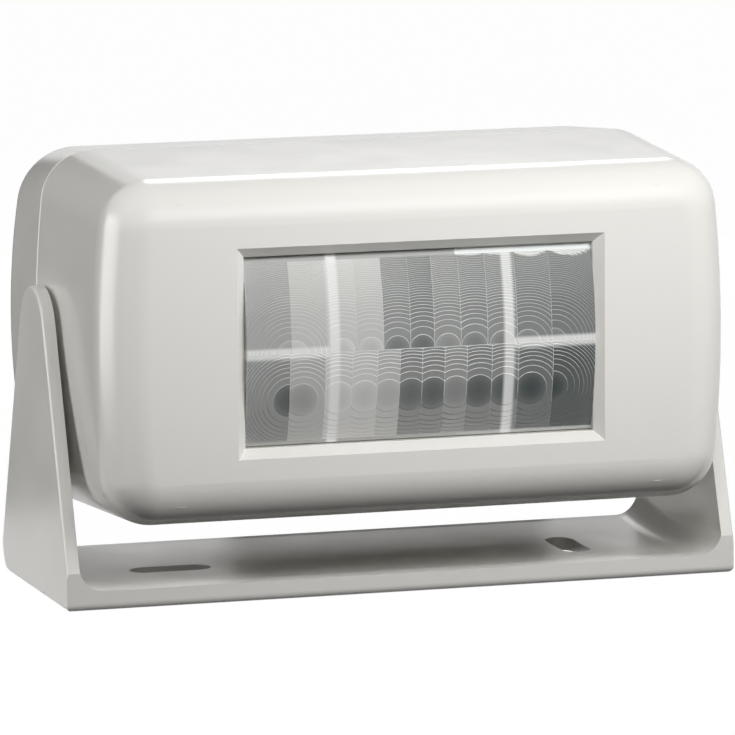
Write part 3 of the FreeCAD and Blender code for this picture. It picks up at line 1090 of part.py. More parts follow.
def build_screws():
    small = ("Sizes.small_screw_radius", "Sizes.small_head_radius", "Sizes.small_head_height")
    kinds = {
        "lens_screws": ("Sizes.frame_screw_grip", FRAME_SCREW_X, WINDOW_MID, FRAME_SCREW_Z, FRAME_BACK),
        "board_screws": ("Sizes.board_screw_grip", BOARD_SCREW_X, TILT_Z, BOARD_SCREW_Z, BOARD_BACK),
    }
    groups = []
    for label, (grip, x, middle, rise, seat) in kinds.items():
        form = screw_form(label + "_form", small[0], grip, small[1], small[2])
        groups.append(group_of(label, four_copies(form, label, x, middle, rise, seat)))
    form = screw_form("housing_screws_form", "Sizes.housing_shank_radius", "Sizes.housing_screw_grip",
                      "Sizes.housing_head_radius", "Sizes.housing_head_height")
    groups.append(group_of("housing_screws", four_copies(form, "housing_screws", HOUSING_X, TILT_Z,
                                                         HOUSING_Z, HOUSING_SEAT)))
    # The speaker screws' wide heads reach over the speaker's rim; they face forward.
    form = screw_form("speaker_screws_form", small[0], "Sizes.speaker_screw_grip",
                      "Sizes.small_head_radius + 1.2", small[2])
    copies = []
    for k, turn in enumerate(SPEAKER_SCREW_TURNS):
        x, z = speaker_screw_place(turn)
        copies.append(copy_of(form, "speaker_screws_%d" % k, x, SPEAKER_SEAT, z,
                              Rotation(Z_AXIS, 180)))
    groups.append(group_of("speaker_screws", copies))
    return groups


def four_copies(form, label, x, middle, rise, seat):
    return [copy_of(form, "%s_%d%d" % (label, sx + 1, sz + 1), "%d * %s" % (sx, x), seat,
                    "%s + %d * %s" % (middle, sz, rise)) for sx in (-1, 1) for sz in (-1, 1)]


# Board and what is soldered to it.

def build_board():
    board = new_body("circuit_board")
    outline = new_sketch(board, "BoardSketch", "XZ_Plane", "-" + BOARD_BACK)
    draw_box(outline, "Board", BOARD_HALF_X, BOARD_HALF_Z)
    plate = feature(board, "Pad", "Plate", Profile=outline, Length="Sizes.board_thickness")
    doc.recompute()
    half_x, half_z = worth(BOARD_HALF_X), worth(BOARD_HALF_Z)
    corners = edges_on(plate.Shape, lambda p: near(abs(p.x), half_x) and near(abs(p.z), half_z))
    feature(board, "Fillet", "BoardCorners", Base=(plate, corners), Radius="Sizes.board_corner")
    four_posts(board, "BoardHoles", pair(BOARD_SCREW_X), pair(BOARD_SCREW_Z),
               pair("Sizes.small_screw_radius + Sizes.screw_passage"), pair(BOARD_FACE + " - 1"),
               "Sizes.board_thickness + 2", cut=True, z_base="0", z_value=0)
    put(board, "0", "0", TILT_Z)

    # Heat sensor in its metal can, on a plastic spacer, behind the middle of the lens.
    spacer = primitive("Cylinder", "sensor_spacer", "0", BOARD_FACE, WINDOW_MID, FORWARD,
                       Radius="Sizes.sensor_spacer_radius", Height="Sizes.sensor_spacer_height")
    foot = "(%s - Sizes.sensor_spacer_height)" % BOARD_FACE
    brim = primitive("Cylinder", "SensorBrim", "0", foot, WINDOW_MID, FORWARD,
                     Radius="Sizes.sensor_radius + Sizes.sensor_brim", Height="Sizes.sensor_brim")
    can = primitive("Cylinder", "SensorCan", "0", foot, WINDOW_MID, FORWARD,
                    Radius="Sizes.sensor_radius", Height="Sizes.sensor_height")
    opening = primitive("Box", "SensorOpening", "-Sizes.sensor_window_x / 2",
                        "%s - Sizes.sensor_height - 1" % foot,
                        WINDOW_MID + " - Sizes.sensor_window_z / 2", Length="Sizes.sensor_window_x",
                        Width="Sizes.sensor_window_deep + 1", Height="Sizes.sensor_window_z")
    sensor = cut_from("pir_sensor", fused("SensorBody", [brim, can]), opening)
    return [board, spacer, sensor, build_control_chip(), build_sound_chip(), build_capacitors(),
            build_resistors(), build_transistor()]


def build_control_chip():
    """Flat moulded package with two rows of legs."""
    body = new_body("control_chip")
    case = new_sketch(body, "CaseSketch", "XZ_Plane", "Sizes.chip_stand")
    draw_box(case, "Case", "Sizes.chip_length / 2", "Sizes.chip_width / 2")
    feature(body, "Pad", "Case", Profile=case, Length="Sizes.chip_top - Sizes.chip_stand")
    legs = new_sketch(body, "LegSketch", "XZ_Plane")
    count = int(V["chip_length"] / V["chip_pitch"] + 0.5)
    for k in range(count):
        for side in (-1, 1):
            draw_box(legs, "Leg%d%d" % (k, side + 1), "Sizes.chip_leg / 2", "0.35",
                     "(%.1f * Sizes.chip_pitch)" % (k - (count - 1) / 2),
                     "%d * (Sizes.chip_width / 2 + 0.25)" % side)
    feature(body, "Pad", "Legs", Profile=legs, Length="Sizes.chip_top * 0.65")
    return put(body, "Sizes.chip_x", BOARD_FACE, TILT_Z + " + Sizes.chip_z")


def build_sound_chip():
    """Drop of resin over the chip on the board's back."""
    dome = primitive("Sphere", "ResinDome", "Sizes.blob_x",
                     BOARD_BACK + " + Sizes.blob_height - Sizes.blob_curve",
                     TILT_Z + " + Sizes.blob_z", Radius="Sizes.blob_curve")
    zone = primitive("Box", "ResinZone", "Sizes.blob_x - Sizes.blob_curve", BOARD_BACK,
                     TILT_Z + " + Sizes.blob_z - Sizes.blob_curve", Length="2 * Sizes.blob_curve",
                     Width="Sizes.blob_height + 1", Height="2 * Sizes.blob_curve")
    resin = doc.addObject("Part::Common", "sound_chip")
    resin.Base = dome
    resin.Tool = zone
    return resin


def build_capacitors():
    small = ("Sizes.can_radius", "Sizes.can_height", "Sizes.can_z")
    cans = [("Sizes.can_x",) + small, ("Sizes.can_x + Sizes.can_pitch",) + small,
            ("Sizes.big_can_x", "Sizes.big_can_radius", "Sizes.big_can_height", "Sizes.big_can_z")]
    pieces = []
    for k, (x, radius, height, z) in enumerate(cans):
        z = "%s + %s" % (TILT_Z, z)
        can = primitive("Cylinder", "CanBody%d" % k, x, BOARD_FACE, z, FORWARD,
                        Radius=radius, Height=height)
        groove = primitive("Torus", "CanGroove%d" % k, x, BOARD_FACE + " - 1.8", z, FORWARD,
                           Radius1=radius + " + 0.25", Radius2="0.5")
        pieces.append(cut_from("Can%d" % k, can, groove))
    return group_of("capacitors", pieces)


def build_resistors():
    """Small resistors that lie on the board, each with two bent leads."""
    lift = "-1.3"
    body = primitive("Cylinder", "ResistorBody", "-Sizes.resistor_length / 2", lift, "0", SIDEWAYS,
                     Radius="Sizes.resistor_radius", Height="Sizes.resistor_length")
    lead = primitive("Cylinder", "ResistorLead", "-Sizes.resistor_span / 2 - Sizes.lead_radius", lift, "0",
                     SIDEWAYS, Radius="Sizes.lead_radius",
                     Height="Sizes.resistor_span + 2 * Sizes.lead_radius")
    feet = [primitive("Cylinder", "ResistorFoot%d" % k, "%d * Sizes.resistor_span / 2" % side, "0", "0",
                      FORWARD, Radius="Sizes.lead_radius * 0.85", Height="1.3")
            for k, side in enumerate((-1, 1))]
    form = fused("resistor_form", [body, lead] + feet)
    copies = []
    for column in range(2):
        for row in range(3):
            copies.append(copy_of(form, "resistor_%d%d" % (column, row),
                                  "Sizes.resistor_x + %d * Sizes.resistor_pitch_x" % column, BOARD_FACE,
                                  "%s + Sizes.resistor_z - %d * Sizes.resistor_pitch_z" % (TILT_Z, row)))
    return group_of("resistors", copies)


def build_transistor():
    """Half-round moulded package on three legs."""
    x = "Sizes.transistor_x"
    z = TILT_Z + " + Sizes.transistor_z"
    under = BOARD_FACE + " - Sizes.transistor_legs"
    round_body = primitive("Cylinder", "TransistorRound", x, under, z, FORWARD,
                           Radius="Sizes.transistor_radius", Height="Sizes.transistor_height")
    flat = primitive("Box", "TransistorFlat", x + " - Sizes.transistor_radius - 1",
                     under + " - Sizes.transistor_height - 1", z + " + Sizes.transistor_radius / 2",
                     Length="2 * Sizes.transistor_radius + 2", Width="Sizes.transistor_height + 2",
                     Height="Sizes.transistor_radius")
    case = cut_from("TransistorCase", round_body, flat)
    legs = [primitive("Box", "TransistorLeg%d" % k, "%s + %.2f - 0.25" % (x, 1.27 * k), under + " - 0.2",
                      z + " - 0.25", Length="0.5", Width="Sizes.transistor_legs + 0.2", Height="0.5")
            for k in (-1, 0, 1)]
    return fused("transistor", [case] + legs)


# Speaker of the chime.

def build_speaker():
    rim = SPEAKER_RADIUS
    thick = "Sizes.speaker_flange"
    deep = "Sizes.speaker_depth"
    sheet_metal = "Sizes.basket_sheet"
    basket = turned_body("speaker_frame", [
        (rim, "0"), (rim, "-" + thick), (rim + " - 2.6", "-" + thick),
        (MAGNET_RADIUS + " + 1.5", "-" + deep), ("3", "-" + deep),
        ("3", "-%s + %s" % (deep, sheet_metal)),
        (MAGNET_RADIUS + " + 0.9", "-%s + %s" % (deep, sheet_metal)),
        (rim + " - 3.4", "-%s + 0.2" % thick), (rim + " - 2.2", "0")])
    coil = "Sizes.coil_radius"
    cone = turned_body("speaker_cone", [
        (rim + " - 3.3", "-0.55"), (rim + " - 4.6", "-1.3"), (coil, "-%s + 2.4" % deep),
        ("0", "-%s + 3.4" % deep), ("0", "-%s + 3.4 - Sizes.cone_sheet" % deep),
        (coil, "-%s + 2.4 - Sizes.cone_sheet" % deep), (rim + " - 4.7", "-1.7"), (rim + " - 3.6", "-0.95")])
    for piece in (basket, cone):
        put(piece, SPEAKER_X, REAR_INNER, TILT_Z)
    magnet = primitive("Cylinder", "speaker_magnet", SPEAKER_X, "%s - %s" % (REAR_INNER, deep), TILT_Z, FORWARD,
                       Radius=MAGNET_RADIUS, Height="Sizes.magnet_height")
    return [basket, magnet, cone]


# Cells, their contacts and the battery door.

def cell_place(k):
    """Height of a cell's axis and the way its button points: the cells lie head to tail."""
    return "%s + %d * %s" % (TILT_Z, k - 1, CELL_PITCH), 1 if k % 2 == 0 else -1


def build_cells():
    cells = []
    for k in range(3):
        z, way = cell_place(k)
        body = new_body("battery_cell_%d" % (k + 1))
        can = feature(body, "AdditiveCylinder", "Can%d" % (k + 1), Radius="Sizes.cell_radius",
                      Height="Sizes.cell_length - Sizes.nub_height")
        doc.recompute()
        rims = [name for name in edges_on(can.Shape, lambda p: near(p.z, 0) or p.z > V["cell_length"] / 2)
                if can.Shape.getElement(name).Curve.TypeId == "Part::GeomCircle"]
        feature(body, "Fillet", "CanEdges%d" % (k + 1), Base=(can, rims), Radius="Sizes.cell_edge")
        feature(body, "AdditiveCylinder", "Button%d" % (k + 1), Radius="Sizes.nub_radius",
                Height="Sizes.cell_length")
        start = "%s - %d * Sizes.cell_length / 2" % (BAY_X, way)
        cells.append(put(body, start, CELL_Y, z, Rotation(Z_AXIS, X_AXIS * way)))
    return cells


def build_contacts():
    """At each cell, a plain plate touches the button and a bent leaf presses the can.
    Both forms have their back on the bay's end wall at X = 0 and reach along +X."""
    tall = "(Sizes.cell_radius - 0.6)"
    plate = primitive("Box", "PlateSheet", "0", "-4.6", "-" + tall, Length="Sizes.contact_sheet",
                      Width="8.8", Height="2 * " + tall)
    boss = primitive("Cylinder", "PlateBoss", "Sizes.contact_sheet / 2", "0", "0", SIDEWAYS, Radius="1.6",
                     Height="Sizes.contact_space - Sizes.contact_sheet / 2")
    plate_form = fused("contact_plate_form", [plate, boss])
    leaf_form = new_body("contact_leaf_form")
    path = new_sketch(leaf_form, "LeafPath", "XY_Plane")
    sheet_metal = "Sizes.contact_sheet"
    reach = "Sizes.contact_space"
    draw_polygon(path, "Leaf", [
        ("0", "-4.6"), ("0", "4.2"), (sheet_metal, "4.2"), (reach, "0"), ("2 * %s" % sheet_metal, "-3.4"),
        ("2 * %s" % sheet_metal, "-2.9"), (reach + " - 0.5", "0"), (sheet_metal, "3.3"), (sheet_metal, "-4.6")])
    feature(leaf_form, "Pad", "Leaf", Profile=path, Length="Sizes.cell_radius", SideType="Symmetric")
    plates = []
    leaves = []
    for k in range(3):
        z, way = cell_place(k)
        ends = {side: "%s + %d * %s" % (BAY_X, side, BAY_HALF_X) for side in (-1, 1)}
        plates.append(copy_of(plate_form, "plate_%d" % k, ends[way], CELL_Y, z,
                              HALF_TURN if way > 0 else None))
        leaves.append(copy_of(leaf_form, "leaf_%d" % k, ends[-way], CELL_Y, z,
                              HALF_TURN if way < 0 else None))
    return [group_of("contact_plates", plates), group_of("contact_leaves", leaves)]


def build_door():
    """Battery door: a plate flush with the rear face, with clips inside the bay."""
    body = new_body("battery_door")
    half_x = "(%s + Sizes.door_overlap)" % BAY_HALF_X
    half_z = "(%s + Sizes.door_overlap)" % BAY_HALF_Z
    outline = new_sketch(body, "DoorOutline", "XZ_Plane", "-Sizes.rear_reach")
    draw_box(outline, "Door", half_x, half_z)
    plate = feature(body, "Pad", "DoorPlate", Profile=outline, Length="Sizes.door_thickness")
    doc.recompute()
    wide, tall = worth(half_x), worth(half_z)
    corners = edges_on(plate.Shape, lambda p: near(abs(p.x), wide) and near(abs(p.z), tall))
    soft = feature(body, "Fillet", "DoorCorners", Base=(plate, corners), Radius="Sizes.door_corner")
    doc.recompute()
    rim = edges_on(soft.Shape, lambda p: near(p.y, V["rear_reach"]))
    feature(body, "Chamfer", "DoorBevel", Base=(soft, rim), Size="Sizes.door_bevel")

    clips = new_sketch(body, "ClipSketch", "XZ_Plane", "-(%s + 0.4)" % DOOR_INNER)
    for side in (-1, 1):
        for end in (-1, 1):
            middle = "%d * (%s - Sizes.clip_clearance - Sizes.clip_thick / 2)" % (side, BAY_HALF_Z)
            draw_box(clips, "Clip%d%d" % (side + 1, end + 1), "Sizes.clip_width / 2", "Sizes.clip_thick / 2",
                     "%d * Sizes.clip_x" % end, middle)
    feature(body, "Pad", "Clips", Profile=clips, Length="Sizes.clip_reach + 0.4")

    # Thumb rest: a shallow round hollow with three raised grips.
    rest_x = "(%s - Sizes.thumb_from_end)" % half_x
    hollow = body.newObject("PartDesign::SubtractiveSphere", "ThumbRest")
    hollow.setExpression("Radius", "Sizes.thumb_curve")
    hollow.setExpression("Placement.Base.x", rest_x)
    hollow.setExpression("Placement.Base.y", "Sizes.rear_reach + Sizes.thumb_curve - Sizes.thumb_deep")
    grips = new_sketch(body, "GripSketch", "XZ_Plane", "-(Sizes.rear_reach - Sizes.door_bevel)")
    for k in (-1, 0, 1):
        draw_box(grips, "Grip%d" % (k + 1), "0.5", "3.6", "%s + %.1f" % (rest_x, 2.6 * k))
    feature(body, "Pad", "Grips", Profile=grips, Length="Sizes.thumb_deep")
    return put(body, BAY_X, "0", TILT_Z)


# Slide switch.

def build_switch():
    case = new_body("switch_body")
    outline = new_sketch(case, "CaseOutline", "XY_Plane")
    draw_box(outline, "Case", "Sizes.knob_width / 2 + Sizes.switch_travel / 2 + Sizes.switch_flank",
             SWITCH_HALF_Y)
    feature(case, "Pad", "SwitchCase", Profile=outline, Length="Sizes.switch_height")
    well = new_sketch(case, "WellSketch", "XY_Plane")
    draw_box(well, "Well", SWITCH_WELL_X, SWITCH_WELL_Y)
    feature(case, "Pocket", "Well", Profile=well, Reversed=True, Length="Sizes.switch_well")
    pins = new_sketch(case, "PinSketch", "XY_Plane", "Sizes.switch_height")
    for k in (-1, 0, 1):
        draw_circle(pins, "Pin%d" % (k + 1), pair("%.1f" % (2.5 * k)), fixed(0), pair("0.4"))
    feature(case, "Pad", "Pins", Profile=pins, Length="2.5")
    put(case, "Sizes.switch_x", SWITCH_Y, SWITCH_FLOOR)

    # Knob, at the OFF end of its throw; its tip stands out of the underside.
    knob = new_body("switch_knob")
    tip = "%s - Sizes.head_height / 2 - Sizes.knob_proud" % TILT_Z
    foot = new_sketch(knob, "KnobOutline", "XY_Plane")
    draw_box(foot, "Knob", "Sizes.knob_width / 2", "Sizes.knob_depth / 2")
    feature(knob, "Pad", "Knob", Profile=foot,
            Length="%s + Sizes.switch_well - Sizes.knob_gap - (%s)" % (SWITCH_FLOOR, tip))
    ridges = new_sketch(knob, "GrooveSketch", "XY_Plane")
    for k in (-1, 0, 1):
        draw_box(ridges, "Groove%d" % (k + 1), "0.3", "Sizes.knob_depth / 2 + 1", "%.1f" % (1.2 * k))
    feature(knob, "Pocket", "Grooves", Profile=ridges, Reversed=True, Length="Sizes.knob_proud / 2")
    put(knob, "Sizes.switch_x - Sizes.switch_travel / 2", SWITCH_Y, tip)
    return [case, knob]


# Build everything, check it, then write each sub-part.

nodes = [build_stand(), build_front_cover(), build_rear_cover(), build_lens(), build_lens_frame()]
nodes += build_screws()
nodes += build_board()
nodes += build_speaker()
nodes += build_cells()
nodes += build_contacts()
nodes.append(build_door())
nodes += build_switch()
doc.recompute()

faults = [o.Label for o in doc.Objects if "Invalid" in o.State or "Error" in o.State]
for node in nodes:
    if node.Shape.isNull() or not node.Shape.isValid() or not node.Shape.Solids:
        faults.append(node.Label)
if faults:
    raise RuntimeError("failed: " + ", ".join(faults))

os.makedirs("parts", exist_ok=True)
for node in nodes:
    node.Shape.exportStep("parts/%s.step" % node.Label)
    print("%-18s %2d solids  %9.1f mm3" % (node.Label, len(node.Shape.Solids), node.Shape.Volume))
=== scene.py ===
"""Looks of the motion sensor: the moulded housing on its stand, the Fresnel lens in its window,
and what shows through the lens, the grille and the slots. The scene is in metres, in the frame of
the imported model, and named sizes are in millimetres unless their line says otherwise."""

import json
import math

import bmesh
import bpy
from mathutils import Matrix, Vector


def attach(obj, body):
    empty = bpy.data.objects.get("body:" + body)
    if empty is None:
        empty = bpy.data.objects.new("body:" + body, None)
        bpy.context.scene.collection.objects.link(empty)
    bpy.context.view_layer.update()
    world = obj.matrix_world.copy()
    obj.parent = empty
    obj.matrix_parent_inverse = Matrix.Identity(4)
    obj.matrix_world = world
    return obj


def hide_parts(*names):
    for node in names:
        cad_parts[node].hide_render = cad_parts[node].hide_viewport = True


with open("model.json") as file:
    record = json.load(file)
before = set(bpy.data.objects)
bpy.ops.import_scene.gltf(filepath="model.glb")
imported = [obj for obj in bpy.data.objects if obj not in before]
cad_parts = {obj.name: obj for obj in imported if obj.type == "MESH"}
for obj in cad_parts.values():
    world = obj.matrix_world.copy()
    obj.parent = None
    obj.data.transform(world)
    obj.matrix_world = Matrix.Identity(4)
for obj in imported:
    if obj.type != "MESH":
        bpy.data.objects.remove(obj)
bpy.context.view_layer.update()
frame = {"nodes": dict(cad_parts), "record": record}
MM = 0.001


# Camera

CAMERA_TURN = math.radians(16.74)      # from the left of the front
CAMERA_RISE = math.radians(8.32)
CAMERA_ROLL = math.radians(-0.41)
CAMERA_AWAY = 1180.4
CAMERA_AIM = (0, 0, 36)
CAMERA_CLIP = (0.05, 50)               # metres
SENSOR_WIDTH = 36
PICTURE = 735                          # pixels each way
FOCAL_PIXELS = 7000
OFFSET_PIXELS = (-1.83, -6.96)         # of the picture's middle, right and down


def place_camera():
    """Long lens from the left of the front, a little above the head, as the photograph was taken."""
    data = bpy.data.cameras.new("photo_camera")
    data.sensor_width = SENSOR_WIDTH
    data.lens = FOCAL_PIXELS / PICTURE * SENSOR_WIDTH
    data.shift_x = -OFFSET_PIXELS[0] / PICTURE
    data.shift_y = OFFSET_PIXELS[1] / PICTURE
    data.clip_start, data.clip_end = CAMERA_CLIP
    camera = bpy.data.objects.new("photo_camera", data)
    bpy.context.scene.collection.objects.link(camera)
    look = Vector((math.sin(CAMERA_TURN) * math.cos(CAMERA_RISE),
                   math.cos(CAMERA_TURN) * math.cos(CAMERA_RISE), -math.sin(CAMERA_RISE)))
    level = Vector((math.cos(CAMERA_TURN), -math.sin(CAMERA_TURN), 0))
    upward = level.cross(look)
    cosine, sine = math.cos(CAMERA_ROLL), math.sin(CAMERA_ROLL)
    right, up = level * cosine + upward * sine, upward * cosine - level * sine
    turn = Matrix((right, up, -look)).transposed()
    place = Vector(CAMERA_AIM) * MM - look * (CAMERA_AWAY * MM)
    camera.matrix_world = Matrix.Translation(place) @ turn.to_4x4()
    bpy.context.scene.camera = camera


# Shader tools

def linear(code):
    """A colour written as sRGB hex, turned to the linear values that the shaders take."""
    steps = [int(code[i:i + 2], 16) / 255 for i in (1, 3, 5)]
    return tuple(v / 12.92 if v <= 0.04045 else ((v + 0.055) / 1.055) ** 2.4 for v in steps) + (1.0,)


def add(tree, kind, sockets=None, links=None, **settings):
    """Adds a shader node with its settings, socket values and incoming links."""
    node = tree.nodes.new(kind)
    for key, value in settings.items():
        setattr(node, key, value)
    for key, value in (sockets or {}).items():
        node.inputs[key].default_value = value
    for key, source in (links or {}).items():
        tree.links.new(source, node.inputs[key])
    return node


def empty_material(name):
    """New material, and its node tree with nothing in it."""
    material = bpy.data.materials.new(name)
    material.use_nodes = True
    material.node_tree.nodes.clear()
    return material, material.node_tree


def seen_as_background(tree):
    """1 for a ray that shows the background: from the camera, off gloss or through the lens."""
    path = add(tree, "ShaderNodeLightPath")
    direct = add(tree, "ShaderNodeMath", operation="MAXIMUM",
                 links={0: path.outputs["Is Camera Ray"], 1: path.outputs["Is Glossy Ray"]})
    return add(tree, "ShaderNodeMath", operation="MAXIMUM",
               links={0: direct.outputs[0], 1: path.outputs["Is Transmission Ray"]}).outputs[0]


# Table, room, lamps and dark cards

TABLE_REACH = 4000                     # from the middle
TABLE_GLOW = 0.985                     # shown to the camera, before the lamps' light on it
ROOM_STRENGTH = 0.03


def stage_sheet(name, corners, material):
    """Flat four-cornered piece of the studio, in metres."""
    mesh = bpy.data.meshes.new(name)
    mesh.from_pydata(corners, [], [(0, 1, 2, 3)])
    mesh.materials.append(material)
    sheet = bpy.data.objects.new(name, mesh)
    bpy.context.scene.collection.objects.link(sheet)
    return sheet


def lay_table():
    """Matt table: it shows white to the camera and keeps the object's soft shadow, but bounces
    little light up, so that the head's underside stays dark."""
    material, tree = empty_material("matt_white_table")
    seen = seen_as_background(tree)
    matt = add(tree, "ShaderNodeBsdfDiffuse", {"Color": linear("#323231")})
    lifted = add(tree, "ShaderNodeEmission", {"Color": linear("#FFFFFF"), "Strength": TABLE_GLOW})
    both = add(tree, "ShaderNodeAddShader", links={0: matt.outputs[0], 1: lifted.outputs[0]})
    mix = add(tree, "ShaderNodeMixShader", links={0: seen, 1: matt.outputs[0], 2: both.outputs[0]})
    add(tree, "ShaderNodeOutputMaterial", links={"Surface": mix.outputs[0]})
    r = TABLE_REACH * MM
    stage_sheet("table", [(-r, -r, 0), (r, -r, 0), (r, r, 0), (-r, r, 0)], material)


def light_world():
    """White room: faint even light, and plain white where a ray shows the background."""
    world = bpy.data.worlds.new("white_room")
    bpy.context.scene.world = world
    world.use_nodes = True
    tree = world.node_tree
    tree.nodes.clear()
    seen = seen_as_background(tree)
    room = add(tree, "ShaderNodeBackground", {"Color": linear("#F6F6F6"), "Strength": ROOM_STRENGTH})
    white = add(tree, "ShaderNodeBackground", {"Color": linear("#FFFFFF"), "Strength": 1.0})
    mix = add(tree, "ShaderNodeMixShader",
              links={0: seen, 1: room.outputs[0], 2: white.outputs[0]})
    add(tree, "ShaderNodeOutputWorld", links={"Surface": mix.outputs[0]})


def hang_lamp(name, place, target, size, power, in_gloss=True, in_matt=True):
    """Soft rectangular lamp at a place in millimetres, turned to its target. A lamp out of gloss
    shades the surfaces without a mirror image, and one out of matt only draws its image."""
    data = bpy.data.lights.new(name, "AREA")
    data.shape = "RECTANGLE"
    data.size, data.size_y = size[0] * MM, size[1] * MM
    data.energy = power
    lamp = bpy.data.objects.new(name, data)
    bpy.context.scene.collection.objects.link(lamp)
    lamp.visible_glossy, lamp.visible_diffuse = in_gloss, in_matt
    place, target = Vector(place) * MM, Vector(target) * MM
    lamp.matrix_world = (Matrix.Translation(place)
                         @ (target - place).to_track_quat("-Z", "Y").to_matrix().to_4x4())


def hang_lamps():
    """Keys and fills shade the plastic. The two glows are mirrored along the left front corner and
    the front edge of the top."""
    hang_lamp("near_key", (42, -205, 165), (15, -30, 60), (220, 90), 0.43, in_gloss=False)
    hang_lamp("high_key", (200, -300, 330), (10, -25, 45), (200, 200), 0.12, in_gloss=False)
    hang_lamp("right_key", (320, -120, 120), (30, -20, 50), (120, 160), 0.17, in_gloss=False)
    hang_lamp("low_fill", (-230, -400, 190), (0, -20, 30), (200, 120), 0.1, in_gloss=False)
    hang_lamp("left_fill", (-380, 30, 150), (-50, -10, 45), (160, 320), 0.7, in_gloss=False)
    hang_lamp("back_fill", (40, 420, 22), (0, 30, 40), (300, 40), 0.5, in_gloss=False)
    hang_lamp("left_glow", (-250, 0, 70), (-50, -20, 45), (190, 160), 0.36, in_matt=False)
    hang_lamp("top_edge_glow", (172, 490, 425), (0, -20, 72), (165, 290), 0.66, in_matt=False)


def place_dark_card(name, corner, reach):
    """Matt black card by the object, which the camera doesn't see: only gloss mirrors it, so that
    the sides, the base plate and the rounding under the head keep their form against the white
    room. Millimetres: one corner, and the reach to the corner opposite it."""
    material, tree = empty_material(name)
    dark = add(tree, "ShaderNodeBsdfDiffuse", {"Color": linear("#0C0C0C")})
    add(tree, "ShaderNodeOutputMaterial", links={"Surface": dark.outputs[0]})
    near = Vector(corner) * MM
    along = Vector((reach[0], 0, 0)) * MM
    over = Vector((0, reach[1], reach[2])) * MM
    card = stage_sheet(name, [near, near + along, near + along + over, near + over], material)
    card.visible_camera = card.visible_diffuse = card.visible_shadow = False


def place_dark_cards():
    """One behind the left side, one behind the base plate and one on the table in front."""
    place_dark_card("side_card", (-230, 75, 0.5), (185, 0, 125))
    place_dark_card("plate_card", (-3, 75, 0.5), (60, 0, 40))
    place_dark_card("front_card", (-90, -150, 0.3), (200, 127, 0))


# Finishes

HAZE_PATCH = 14                        # patches that handling leaves on moulded plastic
METAL_RELIEF = 0.02                    # height of the grain on metal
NOISE_BAND = (0.3, 0.7)                # where most values of a noise lie
PLASTIC_SPREAD = 0.15                  # how far the roughness wanders, as a share
METAL_SPREAD = 0.25
# Pale bars are painted on the lens where the lens frame's ribs stand behind it: two upright ones,
# and a crosswise one outside them.
RIB_X = 15.0
RIB_Z = 42.7
RIB_WIDE = 1.6
RIB_BLUR = (0.3, 0.45)                 # the painted bar's soft edge, inward and outward
LENS_COVER = (0.86, 0.96)              # what the clearest and the milkiest plastic hides


def moulded_plastic(name, colour, roughness, waviness=0.0, wave_mm=1.0):
    """Moulded or coated plastic. The tool's polish sets how sharp its highlights are, handling
    leaves it a little less even in gloss, and a poured coat is wavy as well."""
    material, tree = empty_material(name)
    place = add(tree, "ShaderNodeTexCoord")
    haze = add(tree, "ShaderNodeTexNoise", {"Scale": 1 / (HAZE_PATCH * MM), "Detail": 3.0, "Roughness": 0.5},
               {"Vector": place.outputs["Object"]})
    shine = add(tree, "ShaderNodeMapRange",
                {"From Min": NOISE_BAND[0], "From Max": NOISE_BAND[1],
                 "To Min": roughness * (1 - PLASTIC_SPREAD), "To Max": roughness * (1 + PLASTIC_SPREAD)},
                {"Value": haze.outputs["Fac"]})
    bsdf = add(tree, "ShaderNodeBsdfPrincipled", {"IOR": 1.54, "Base Color": linear(colour)},
               {"Roughness": shine.outputs[0]})
    if waviness:
        slow = add(tree, "ShaderNodeTexNoise", {"Scale": 1 / (wave_mm * MM), "Detail": 1.0},
                   {"Vector": place.outputs["Object"]})
        bump = add(tree, "ShaderNodeBump", {"Strength": 1.0, "Distance": waviness * MM},
                   {"Height": slow.outputs["Fac"]})
        tree.links.new(bump.outputs[0], bsdf.inputs["Normal"])
    add(tree, "ShaderNodeOutputMaterial", links={"Surface": bsdf.outputs[0]})
    return material


def metal(name, colour, roughness, grain_mm, stretch=(1, 1, 1)):
    """Bare or plated metal with the grain that its rolling, drawing or plating leaves. The real
    grain is finer, and is drawn coarse enough to show."""
    material, tree = empty_material(name)
    place = add(tree, "ShaderNodeTexCoord")
    scaled = add(tree, "ShaderNodeMapping", {"Scale": stretch}, {"Vector": place.outputs["Object"]})
    noise = add(tree, "ShaderNodeTexNoise", {"Scale": 1 / (grain_mm * MM), "Detail": 4.0},
                {"Vector": scaled.outputs[0]})
    shine = add(tree, "ShaderNodeMapRange",
                {"From Min": NOISE_BAND[0], "From Max": NOISE_BAND[1],
                 "To Min": roughness * (1 - METAL_SPREAD), "To Max": roughness * (1 + METAL_SPREAD)},
                {"Value": noise.outputs["Fac"]})
    bump = add(tree, "ShaderNodeBump", {"Strength": 1.0, "Distance": METAL_RELIEF * MM},
               {"Height": noise.outputs["Fac"]})
    bsdf = add(tree, "ShaderNodeBsdfPrincipled", {"Metallic": 1.0, "Base Color": linear(colour)},
               {"Roughness": shine.outputs[0], "Normal": bump.outputs[0]})
    add(tree, "ShaderNodeOutputMaterial", links={"Surface": bsdf.outputs[0]})
    return material


